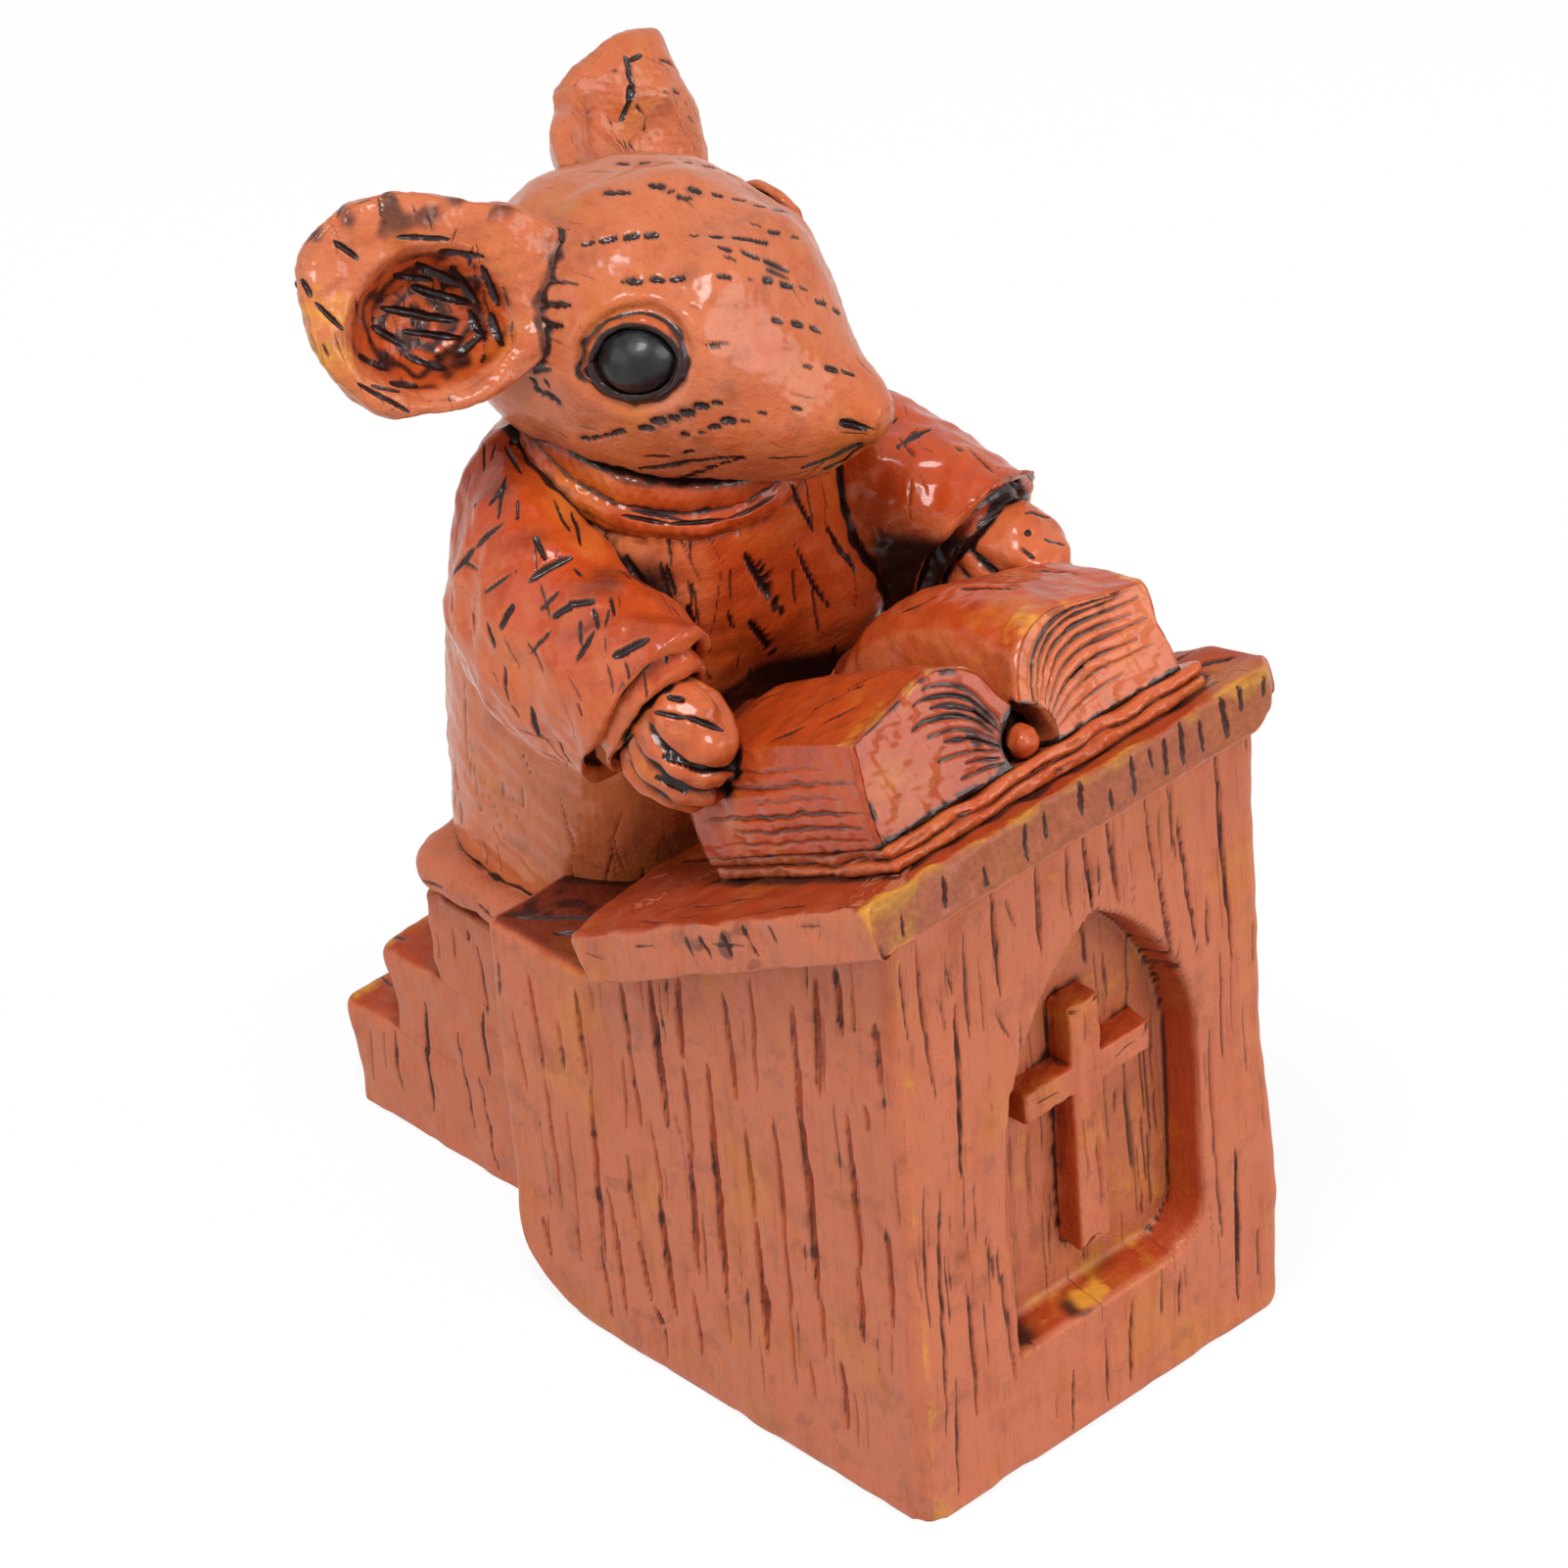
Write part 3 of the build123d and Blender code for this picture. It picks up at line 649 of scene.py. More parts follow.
on_front = (ways[:, 1] < -0.99) & (grid[..., 1] < -half_depth + 0.02)
x, z = grid[..., 0], grid[..., 2]
gap = arch_distance(x, z)
eps = 0.02
slant = unit(np.stack([arch_distance(x + eps, z) - gap, arch_distance(x, z + eps) - gap], -1) / eps)
outside = (gap - band) * reach_out / (reach_out - band)
within = -lean_in + (gap + band) * (reach_out - lean_in) / (reach_out - band)
sunk = np.clip((band - gap) / (2 * band), 0, 1)
moved = np.where(np.abs(gap) < band, -lean_in * sunk, np.where(gap > 0, outside, within))
moved = np.where(np.abs(gap) > reach_out, gap, moved)
grid[..., 0] = np.where(on_front, x + slant[..., 0] * (moved - gap), x)
grid[..., 2] = np.where(on_front, z + slant[..., 1] * (moved - gap), z)
grid[..., 1] += np.where(on_front, arch_deep * sunk, 0)
inside = np.where(on_front, sunk, 0).reshape(-1)
facing = np.repeat(ways[None], len(grid), 0).reshape(-1, 2)
points, tris, inside, facing = shell(grid, inside, facing)
print("recess", arch_right - arch_left, "mm wide and", arch_deep, "mm deep")

# %% [markdown]
# The photographed sides carry the real gouges, each read off against the camera as two
# ends on the side's plane and a size from 1 to 5. The far side and the back can't be
# seen, so theirs are scattered at random from a fixed seed. Fine hair cuts fill in
# between, and the wash in a wide gouge leaves a red heart.

# %% Pulpit gouges
near_marks = [
    (13.2, 23.3, 12.4, 17.4, 2), (12.4, 16.8, 12.3, 7.5, 2), (14.8, 20, 14.1, 14.7, 1),
    (10.9, 21.2, 10.7, 18.3, 1), (9.3, 24, 9, 18.5, 3), (7.9, 25.1, 7.9, 23.3, 1), (8.7, 17.7, 8.9, 5.6, 3),
    (10.9, 15.1, 10.9, 7, 1), (11.2, 7.5, 11, 4.7, 1), (8, 11, 7.4, 2.8, 3), (9.1, 5.4, 8.8, 1.7, 2),
    (5.1, 26.9, 5.1, 22.2, 3), (5.2, 22.8, 4.8, 16.9, 2), (5.8, 21.3, 6.1, 15.9, 1), (2.6, 28.1, 2.4, 18.1, 5),
    (0.4, 29.1, 0.5, 23.9, 4), (0.5, 23.2, 0.7, 16.5, 3), (0.9, 17, 0.9, 9, 4), (4, 17.9, 3.5, 12.6, 2),
    (3.8, 12.7, 3.2, 4.7, 4), (6.2, 14.3, 6, 9.5, 2), (5.8, 8.6, 5.2, 4.9, 3), (4.9, 4.4, 4.3, 3.6, 2),
    (-1.4, 24.2, -1.4, 17.5, 3), (-1.2, 19.9, -1.4, 8.4, 5), (-3.2, 29.8, -3.6, 22.9, 3),
    (-5.5, 32, -5.4, 24.4, 2), (-4, 21, -4.2, 15.3, 3), (-4.2, 15, -4.5, 6.3, 4), (-6.5, 23.1, -6.6, 15, 3),
    (-6.6, 15, -6.7, 10.4, 2), (-8.7, 31.6, -9, 24.9, 4), (-8.7, 26.3, -9, 12.3, 5), (-9.1, 12.6, -9.2, 8.4, 2),
    (-10.7, 34.3, -10.6, 26.9, 4), (-12.3, 35.9, -12.6, 31.7, 4), (-12.6, 26.7, -12.5, 15.9, 3),
    (-12.2, 16, -12.4, 11.2, 3), (-14.8, 19.8, -14.8, 13.1, 3), (-14.7, 12.7, -14.6, 10, 1),
    (-10.4, 8.7, -10.5, 4, 3), (1.5, 7.4, 1.2, 3.2, 2), (-1.3, 8.2, -1.4, 5.2, 1), (-6.5, 10.9, -6.6, 4.8, 1),
    (-15.1, 33.5, -15.3, 29.8, 3), (-14.1, 27.8, -14.2, 26, 2), (14.1, 6, 13.7, 3.6, 2),
    (-11.2, 32.2, -11, 27.1, 1), (-13.5, 34.8, -13.6, 32.2, 1), (1.7, 19.4, 1.5, 17.9, 1),
    (-7.8, 7.3, -8.1, 4.9, 1), (-4.6, 10.9, -4.9, 8.6, 2),
]
front_marks = [
    (-11.5, 38.7, -10.9, 28.3, 3), (-12.8, 38.3, -12.3, 32.5, 2), (-9.3, 35.6, -9, 33.6, 2),
    (-8.9, 33, -9.5, 22.2, 5), (-8.1, 37.6, -8.1, 30.1, 2), (-6.1, 39.5, -5.8, 31.9, 4),
    (-5.1, 37.8, -4.5, 35.7, 2), (-2.7, 38.8, -2.7, 33.2, 4), (-0.6, 38.8, -0.4, 34.2, 3),
    (0.7, 39.2, 1.2, 33.7, 4), (2.5, 39.4, 3.2, 33.1, 4), (5.4, 38.6, 6, 32.7, 2), (6.2, 33.3, 6.8, 27.3, 4),
    (7.1, 38.8, 7.5, 33.7, 2), (7.7, 36.3, 8.7, 27.1, 4), (10.8, 39.2, 11.3, 24.9, 5),
    (12.9, 38.8, 13.2, 37.2, 2), (12.9, 26.7, 13, 23.6, 2), (9.3, 22.3, 9.4, 11.7, 3),
    (10.4, 26.4, 10.3, 18.7, 2), (9.2, 13.8, 9.6, 7.1, 2), (10.8, 12.6, 10.7, 2, 5), (12.3, 6.2, 12.3, 2.8, 2),
    (2.6, 7, 2.1, 1.3, 3), (0.5, 5.5, 0.3, 1.1, 2), (-2, 4.5, -2.4, 0.6, 2), (4.9, 7.4, 4.8, 4.2, 2),
    (6.3, 6.5, 6.1, 3.4, 2), (-12.1, 23.7, -12.4, 12.2, 2), (-11, 21.9, -11.8, 5.9, 3),
    (-10.9, 9.4, -11, 1.5, 2), (-9.5, 14.5, -9.4, 5.7, 3), (-7.1, 15.8, -6.5, 6.6, 3),
    (-7.8, 16.9, -7.3, 13.5, 3), (-7.2, 35.5, -7.1, 30.3, 1), (-6.2, 31.1, -5.4, 29, 2),
    (-4.4, 22.5, -4.4, 15.9, 3), (-3.2, 20.2, -3.4, 15.3, 2), (-2, 19.6, -2.2, 13.4, 3),
    (5.6, 21.1, 5.4, 13, 2), (6.4, 16, 6.5, 11.6, 2), (4.2, 28, 4.4, 25, 2), (2.9, 31.6, 3, 27.8, 3),
    (-2.6, 29, -2.4, 25, 2), (-10.2, 34.3, -9.6, 31.7, 1), (-12.9, 18.9, -12.7, 15.6, 1),
    (12, 22.9, 12, 15.9, 1), (6.7, 7.2, 6.7, 5.2, 1), (7, 20, 7.1, 14, 2), (10.9, 34.6, 11.1, 31.1, 3),
    (9.6, 30.1, 9.5, 27.1, 3), (1.8, 36.7, 1.8, 34.4, 2),
]
ledge_marks = [
    (-12.6, 16.0, -8.6, 11.0, 3), (-11.8, 12.6, -9.4, 10.2, 4), (-10.4, 15.8, -9.0, 13.6, 2),
    (12.4, 16.0, 9.0, 11.2, 3), (11.0, 13.0, 9.5, 10.5, 2),
]
normals = normals_of(points, tris)
quiet = np.where((points[:, 2] < 0.4) & (np.abs(normals[:, 2]) > 0.7), 0, 1)
level_lumps = 0.10 * lumps(points, 9.0, 1) + 0.035 * lumps(points, 2.6, 2)
points = points + normals * (level_lumps * quiet)[:, None]
points[:, 0] += 0.28 * ease(points[:, 0], 11, 13.4) * bell(points[:, 2], 7, 6) * (inside < 0.01)
x, y, z = points.T
sides = (
    (facing[:, 0] < -0.9, y, near_marks),
    (facing[:, 1] < -0.9, x, front_marks),
    (facing[:, 0] > 0.9, y, scattered(58, (-16, 3), (15.5, 30), (3, 11), (1, 5), 21)),
    (facing[:, 1] > 0.9, x, scattered(40, (-13, 6), (13, 23), (3, 9), (1, 5), 22)),
)
front_side = 1
red_heart_width, stain_share = 0.72, 0.95
deep, dark, red = np.zeros(len(points)), np.zeros(len(points)), np.zeros(len(points))
for k, (face, over, marks) in enumerate(sides):
    below = face & (z < top_of(y) + 0.05)
    flat = np.stack([over, z], 1)
    width, depth, redness = (0.8, 1, 0.4) if k == front_side else (1.42, 1.5, 1.0)
    fine = scattered(110 if k == front_side else 42, (-16, 2), (16, 38), (1.5, 7), (-0.4, 0.7), 25 + k, 0.02)
    if k == front_side:
        fine = np.concatenate([fine, scattered(60, (-5.5, 10), (8.0, 28), (1.5, 6), (0.0, 1.8), 35, 0.02)])
    for some, core in ((marks, redness), (fine, 0.0)):
        cuts = gouge_rows(some, width, depth, stain_share)
        one_deep, one_dark = carve(flat, cuts, below)
        heart = carve(flat, cuts[cuts[:, 4] > 0.13] * [1, 1, 1, 1, red_heart_width, 1, 1], below)[1] * core
        deep, red = np.maximum(deep, one_deep), np.maximum(red, heart)
        dark = np.maximum(dark, one_dark * (1 - 0.75 * np.clip(heart * 1.4, 0, 1)))
on_ledge = (normals[:, 2] > 0.8) & (z > 20) & (y > 8.5)
one_deep, one_dark = carve(points[:, :2], gouge_rows(ledge_marks), on_ledge)
deep, dark = np.maximum(deep, one_deep), np.maximum(dark, one_dark)
points = points - normals * deep[:, None]
print("pulpit gouges up to", round(float(deep.max()), 2), "mm deep")

# %% [markdown]
# The foot of a cast piece gets knocked, so its lower edge is chipped and one front
# corner is gone. The paint is then laid on by place: red on the recess's wall, ochre on
# its sill and on the near front edge, and soft brown patches on the near side. Ochre on
# the recess's floor and a little on its wall, with less dark wash on the floor, is
# painted light against the recess's shade, and a dark line runs where its wall meets
# its floor.

# %% Pulpit chips and paint
chips = np.clip(lumps(points, 5.0, 34), 0, 1) * ease(2.6 - points[:, 2], 0, 2.6) * (points[:, 2] > 0.05)
points = points - normals * (0.12 * chips)[:, None]
low_down = ease(3.4 - points[:, 2], 0, 3.4)
cut_off = np.clip(1.7 * low_down - (points[:, 0] + half_width) - (points[:, 1] + half_depth), 0, None)
points[:, :2] += 0.5 * cut_off[:, None]
points[:, 0] += 0.34 * ease(points[:, 0], 12.6, 13.4)
points[:, 2] = np.maximum(points[:, 2], 0.0)
x, y, z = points.T
wall = ease(inside, 0.05, 0.3) * ease(0.99 - inside, 0.0, 0.1)
# A dark line along the corner where the recess wall meets its floor.
floor_line = bell(inside, 0.93, 0.06) * (x > -2)
in_front = (facing[:, 1] < -0.9) * (inside < 0.03)
near_edge = bell(x, -13.2, 0.7) * in_front
foot = ease(5 - z, 0, 5) * in_front * ease(-x, 2, 13)
sill = (inside > 0.02) * ease(9.2 - z, 0, 0.8) * (np.abs(y + half_depth) < 3.2)
pit = bell(x, -4.9, 1.3) * bell(z, 8.6, 1.3) * (inside > 0.2)
chip_at = np.hypot((x - 0.4) / 1.5, (y + 15.6) / 0.9)
chip = ease(1.1 - chip_at, 0, 0.4) * sill
chip_ring = bell(chip_at, 1.1, 0.4) * sill * ease(0.8 - x, 0, 2)
on_near = (facing[:, 0] < -0.9) * (z < top_of(y) - 0.6)
mottle = on_near * ease(lumps(points, 2.6, 36) + 0.5 * lumps(points, 0.8, 37), 0.75, 1.3)
stipple = in_front * bell(x, -9, 2.4) * bell(z, 16, 6) * (0.7 + 0.5 * lumps(points, 1.5, 33))
dark_marks = 0.85 * floor_line + pit + 0.7 * chip_ring + 0.5 * on_ledge + 0.36 * stipple + 0.30 * mottle
edges = 0.32 * near_edge + 0.3 * foot + 0.24 * sill + 0.14 * in_front + 0.10 * wall
# Painted light in the recess: ochre on its floor and a little on its wall, and less dark wash on its floor, lighten
# them against their shade.
piece("carved_pulpit", points, tris, satin, "pulpit_body",
      wash_and_shade=dark * (1 - 0.3 * (inside > 0.9)) + dark_marks, wear_and_light=edges + 0.3 * (inside > 0.95) + 0.6 * chip,
      warm=0.16 + red + 0.95 * wall + 0.85 * on_ledge + 0.05 * in_front)

# %% [markdown]
# The cross stands on the recess floor. Its outline has four inner corners as well, so
# its closing line is a cross too: points of the post go to the post's middle line,
# points of the arms to theirs, and the inner corners go to where the two lines meet.

# %% Cross
cross_x, arm_z, post_half, arm_half, arm_end = 1.2, 22.45, 1.15, 0.95, 4.75
cross_low, cross_high, cross_tall, cross_round = 11.0, 27.2, 1.6, 0.28
arm_low, arm_high = arm_z - arm_half, arm_z + arm_half
plan = [(-post_half, cross_low), (post_half, cross_low), (post_half, arm_low), (arm_end, arm_low),
        (arm_end, arm_high), (post_half, arm_high), (post_half, cross_high), (-post_half, cross_high),
        (-post_half, arm_high), (-arm_end, arm_high), (-arm_end, arm_low), (-post_half, arm_low)]
outline, ways = round_outline(plan, [0.12] * 12, [0.09] * 12)
x, z = outline.T
to_arm = np.stack([x * 0.93, np.full(len(x), arm_z)], 1)
to_post = np.stack([np.zeros(len(x)), np.clip(z, cross_low + 0.6, cross_high - 0.6)], 1)
spine = np.where((np.abs(x) > post_half + 0.02)[:, None], to_arm, to_post)
spine[(np.abs(np.abs(x) - post_half) < 0.13) & (np.abs(np.abs(z - arm_z) - arm_half) < 0.13)] = (0, arm_z)
rows = drawn(0, (1, 0.4), 0.0) + [(-0.14, 0, 0.0), (-0.06, 0, 0.1)]
rows += upward(np.linspace(0.25, 1.32, 9)) + over_edge(cross_round, 1.32, np.linspace(0.25, math.pi / 2, 5))
rows += drawn(cross_round, np.linspace(0.08, 1, 10), cross_tall)
grid = ring_rows(outline, ways, spine, rows)
grid = np.stack([grid[..., 0] + cross_x, -half_depth + arch_deep - grid[..., 2], grid[..., 1]], -1)
points, tris = shell(grid)
normals = normals_of(points, tris)
points += normals * (0.05 * lumps(points, 1.6, 31) + 0.02 * lumps(points, 0.6, 32))[:, None]
cross_marks = [(0.7, 19.8, 0.8, 15.2, 1), (1.6, 18.4, 1.7, 12.9, 1), (1.2, 26.5, 1.2, 24.4, 1),
               (-2.6, 22.5, -1.0, 22.4, 1), (3.2, 22.4, 4.8, 22.6, 1)]
deep, dark = carve(points[:, [0, 2]], gouge_rows(cross_marks), points[:, 1] < -15.2)
ahead = ease(-normals[:, 1], 0.5, 0.9)
piece("relief_cross", points - normals * deep[:, None], tris, satin, "pulpit_cross",
      wash_and_shade=dark * 0.8 + 0.12 * (1 - ahead), warm=1 - 0.75 * ahead, wear_and_light=0.12 * ahead, ridge_share=0.0)

# %% [markdown]
# The board, the cover and the pages all lie on the slope. They could be modelled flat
# and then turned, but their dents must meet the pulpit's, so they are laid out in the
# slope's own measures: x across, v down from the front edge, and h off the pulpit.

# %% Desk board outline
down = np.array([0, math.cos(slope), -math.sin(slope)])
off_desk = np.array([0, math.sin(slope), math.cos(slope)])
across = np.array([1.0, 0, 0])
desk_edge = np.array([0, -half_depth, front_height])
board_thick = 3.0


def on_desk(x, v, h):
    """The place x across, v down the slope and h off it."""
    return desk_edge + np.multiply.outer(x, across) + np.multiply.outer(v, down) + np.multiply.outer(h, off_desk)


def desk_measures(points):
    """x, v and h of places."""
    off = points - desk_edge
    return off @ across, off @ down, off @ off_desk


outline, ways = round_outline(
    [(-15.7, -3), (13.5, -3), (15.2, -1.3), (15.2, 25.2), (8.2, 28.6), (-8.7, 28.6), (-15.7, 25.2)],
    [0.5, 0.9, 0.9, 1.4, 1.6, 1.6, 1.4], [0.13, 0.14, 0.24, 0.3, 0.3, 0.15, 0.15])
spine = np.column_stack([np.clip(outline[:, 0] * 0.2, -2, 2), np.clip(outline[:, 1], 8, 18)])
rows = drawn(0.3, (1, 0.6, 0.3, 0.12, 0.04), 0.0) + under_edge(0.3, 0.0, np.linspace(0, 1.4, 4))
rows += upward(np.linspace(0.32, 2.5, 20)) + over_edge(0.5, 2.5, np.linspace(0.2, math.pi / 2, 6))
rows += inward(0.5, np.linspace(0.13, 2.6, 18), board_thick) + drawn(3.1, np.linspace(0.03, 1, 22), board_thick)
x, v, h = np.moveaxis(ring_rows(outline, ways, spine, rows), -1, 0)

# The front leans back, the edges wave, and the right end is bevelled under and raised.
v = v + 0.8 * (1 - h / board_thick) * np.clip(-ways[:, 1], 0, 1)
edge_wave = 0.22 * lumps(np.stack([x, v, h * 0.4], -1), 5.0, 41) + 0.08 * lumps(np.stack([x, v, h], -1), 1.6, 42)
away = ease(np.abs(x), 12.5, 15) + ease(-v, 1.0, 3) + ease(v, 25, 28)
dent = np.clip(edge_wave + 0.12, 0, 1)
x, v = x - ways[:, 0] * dent * away, v - ways[:, 1] * dent * away
bevel = ease(x, 12.0, 15.0) * ease(-v, -9, 2)
h = np.where(h < 1.5, h + 1.1 * bevel * (1 - h / 1.5), h)
x = x - 0.5 * bevel * np.clip(1 - h / 2.2, 0, 1)
x = x + 0.45 * ease(x, 12.5, 15) * ease(20 - v, 0, 8)
h = h + 0.5 * ease(x, 10.5, 14.5) * ease(v, 0, 3) * ease(h, -1, 2)
flat = np.stack([x, v], -1)
lip = 0.75 * np.exp(-((x - 14) / 2.6) ** 2 - ((v - 3.5) / 4.5) ** 2)
h = h + ease(h, 1.5, 3) * (lip + 0.10 * lumps(flat, 4.0, 43) * (h < 2.9) + 0.07 * lumps(flat, 3.0, 44))
points, tris = shell(on_desk(x, v, h))
print("board slopes by", round(math.degrees(slope), 1), "degrees")

# %% Desk board marks
ticks = [
    (-10.2, 2.2, -10.5, 0.7, 2), (-4.5, 2.4, -4.8, 0.6, 2), (-2.8, 2.3, -3.0, 1.1, 2), (-0.2, 2.8, -0.6, 1.3, 2),
    (3.5, 2.6, 3.1, 0.7, 2), (4.7, 2.5, 4.6, 1.5, 1), (5.8, 2.5, 5.5, 0.7, 2), (7.2, 2.8, 6.9, 0.7, 3),
    (8.6, 2.3, 8.4, 0.7, 2), (10.4, 2.7, 10.2, 0.7, 3), (11.6, 2.8, 11.4, 1.6, 2), (13.3, 2.6, 13.2, 1.6, 1),
    (-13.6, 1.6, -13.8, 0.6, 1), (1.5, 1.6, 1.4, 0.6, 1), (-7.6, 1.5, -7.7, 0.5, 1),
]
top_marks = [
    (11.9, 2.2, 14.6, 0.6, 4), (12.6, 4.4, 14.4, 3.4, 3), (11.6, 7.5, 13.8, 6.9, 3), (12.2, 9.6, 14.6, 9.0, 2),
    (11.4, 12.0, 12.6, 11.8, 2), (-14.9, 9.0, -14.2, 4.6, 2), (-13.1, 16.4, -12.7, 11.0, 2),
    (-14.6, 20.4, -14.3, 14.0, 1), (-11.2, 24.8, -10.9, 19.6, 2), (-6.0, 27.2, -5.8, 22.4, 2),
]
end_marks = [
    (2, 2.2, 3.6, 2.3, 1), (9, 1.6, 12, 1.8, 1), (17, 2.0, 19, 2.1, 1), (22.6, 1.4, 24, 2.0, 1),
    (8.6, 2.6, 8.4, 0.9, 2),
    (10.6, 2.3, 10.5, 1.2, 3), (12.8, 2.4, 12.6, 1.0, 2), (14.2, 2.2, 14.3, 1.2, 2), (6.2, 2.5, 6.1, 1.6, 2),
]
normals = normals_of(points, tris)
x, v, h = desk_measures(points)
deep, dark = carve_sides((np.stack([x, h], 1), ticks, normals @ down < -0.6),
                         (np.stack([x, v], 1), top_marks, normals @ off_desk > 0.8),
                         (np.stack([v, h], 1), end_marks, np.abs(normals[:, 0]) > 0.8))
top = ease(normals @ off_desk, 0.5, 0.9)
near_end = ease(-normals[:, 0], 0.6, 0.9) * bell(v, 11.5, 5.0) * ease(lumps(points, 2.0, 45), 0.1, 0.9)
from_book = np.maximum(np.abs(x - 0.3) - 11.8 + np.clip(v, 0, 19) * 0.095, -0.4 - v)
by_book = np.clip(1 - np.abs(from_book - 0.1) / 0.7, 0, 1) * top * (v < 19)
front_edge = ease(-v, 1.2, 2.4)
piece("desk_board", points - normals * deep[:, None], tris, satin, "desk_slab",
      wash_and_shade=dark + 0.8 * by_book + 0.15 * top + 0.55 * near_end + 0.42 * ease(-(normals @ down), 0.5, 0.9),
      warm=0.15 + 0.85 * top,
      wear_and_light=0.3 * ease(-v, 1.6, 2.6) * ease(h, 1.6, 2.6)
      + (0.5 * bell(x, -13.5, 2.6) + 0.3 * ease(x, 9, 14)) * front_edge)

# %% [markdown]
# The cover is two thin boards that gape a little. Two separate plates would leave a
# slit, so it is one shell whose edge profile goes in at a groove halfway up. Its edge
# waves as an old cover does, and the two layers wave each in its own way.

# %% Book cover
corners = [(-11.5, -0.4), (12.1, -0.4), (10.3, 18.4), (-9.7, 18.4)]
outline, ways = round_outline(corners, [0.5] * 4, [0.12, 0.2, 0.5, 0.13])
spine = np.column_stack([outline[:, 0] * 0.3, np.clip(outline[:, 1], 5, 12)])
cover_thick, groove_at = 1.5, 0.76
profile = flow([(0.25, 0.0), (0.05, 0.06), (-0.05, 0.25), (-0.02, 0.5), (0.08, 0.62), (0.26, 0.7), (0.32, groove_at),
                (0.26, 0.82), (0.1, 0.9), (0.0, 1.02), (0.0, 1.2), (0.06, 1.36), (0.2, 1.47), (0.4, cover_thick)], 34)
rows = drawn(0.3, (1, 0.5, 0.1), 0.0) + [(i, 0, h) for i, h in profile]
rows += inward(0.4, (0.2, 0.5, 0.9, 1.5), cover_thick) + drawn(1.9, (0.3, 1), cover_thick)
x, v, h = np.moveaxis(ring_rows(outline, ways, spine, rows), -1, 0)
h = h + board_thick
layer = np.where(h > board_thick + groove_at, 1.0, -1.0)
wave = 0.20 * lumps(np.stack([x * 0.8, v, layer * 3], -1), 4.5, 51) + 0.05 * lumps(np.stack([x, v, h], -1), 1.0, 52)
x, v = x - ways[:, 0] * (wave + 0.1), v - ways[:, 1] * (wave + 0.1)
h = h + 0.10 * lumps(np.stack([x, v], -1), 5.0, 53) * ease(h, 3.1, 3.6)
points, tris = shell(on_desk(x, v, h))
normals = normals_of(points, tris)
x, v, h = desk_measures(points)
nicks = scattered(6, (-11, 3.2), (12, 4.3), (0.8, 2.4), (1, 2), 54, 0.1, False)
deep, dark = carve(np.stack([x, h], 1), gouge_rows(nicks), normals @ down < -0.5)
groove = bell(h, board_thick + groove_at, 0.09) * (np.abs(normals @ off_desk) < 0.95)
piece("worn_cover", points - normals * deep[:, None], tris, glossy, "book_cover",
      wash_and_shade=0.5 * dark + 0.3 * groove, warm=0.55, join_share=0.28)

# %% [markdown]
# Each half of the pages is one closed shell. Its front is a patch stretched between
# four curves: the foot, the crown, the round hollow at the spine and the outer edge.
# Leaves then follow one direction of the patch, so fan grooves cut along it spread out
# from the spine as the real ones do. The patch's rim is carried back to make the rest.

# %% Page curves and marks
crowns = {
    "page_block_right": [(0.12, 4.5), (0.7, 5.6), (1.4, 7.05), (2.65, 8.0), (4.4, 8.45), (6.0, 8.2), (8.2, 7.65),
                         (10.55, 7.1)],
    "page_block_left": [(0.12, 4.6), (0.55, 5.6), (1.44, 6.95), (2.7, 7.8), (4.4, 8.1), (6.5, 7.7), (8.6, 7.15),
                        (10.75, 6.75)],
}
fans = {
    "page_block_right": [(0.15, 5.75, 5.6, 5.9, 2), (0.15, 5.2, 6.4, 5.3, 3), (0.15, 4.65, 5.2, 4.75, 3),
                         (0.15, 4.1, 6.6, 4.3, 3), (0.15, 3.55, 5.6, 3.6, 2), (0.2, 3.0, 4.6, 3.1, 3),
                         (0.2, 2.4, 5.2, 2.3, 2), (0.2, 1.8, 3.6, 1.7, 2), (0.3, 1.2, 4.2, 1.0, 2)],
    "page_block_left": [(0.2, 5.9, 10.3, 5.95, 3), (0.2, 5.35, 9.6, 5.4, 3), (0.2, 4.8, 10.1, 4.75, 3),
                        (0.2, 4.2, 9.4, 4.2, 3), (0.2, 3.6, 10.4, 3.7, 3), (0.2, 3.0, 9.0, 2.9, 3),
                        (0.2, 2.3, 9.8, 2.2, 2), (0.3, 1.5, 8.0, 1.3, 2)],
}
leaf_marks = {
    "page_block_right": [(-3.4, 3.6, -5.6, 5.6, 2), (-5.4, 4.6, -7.0, 7.4, 3), (-7.0, 3.0, -8.4, 5.0, 2),
                         (-2.6, 9.2, -3.6, 11.4, 2), (-8.6, 6.4, -9.5, 8.8, 3), (-4.6, 12.6, -5.6, 14.8, 1)],
    "page_block_left": [(5.0, 3.0, 4.0, 6.4, 3), (7.2, 5.2, 6.4, 7.6, 2), (3.2, 7.4, 2.2, 9.6, 2),
                        (9.2, 3.0, 8.6, 6.4, 2), (6.4, 10.4, 5.4, 13.0, 2), (3.6, 12.4, 2.8, 14.6, 1)],
}
lanes = [(0.4, 5.1, 16.5, 5.2, 1), (0.8, 5.8, 13.5, 5.9, 2), (0.5, 6.6, 16.9, 6.7, 2), (1.6, 7.4, 12.5, 7.5, 1),
         (0.5, 8.2, 16.0, 8.3, 2), (3.0, 9.0, 15.0, 9.2, 1)]
page_front, page_long, narrowing = 0.1, 17.6, 0.097
leaf_rows, leaf_columns = 92, 58
hollow_round, hollow_height = 1.75, 2.45
t, p = np.meshgrid(np.linspace(0, 1, leaf_rows) ** 1.1, np.linspace(0, 1, leaf_columns), indexing="ij")
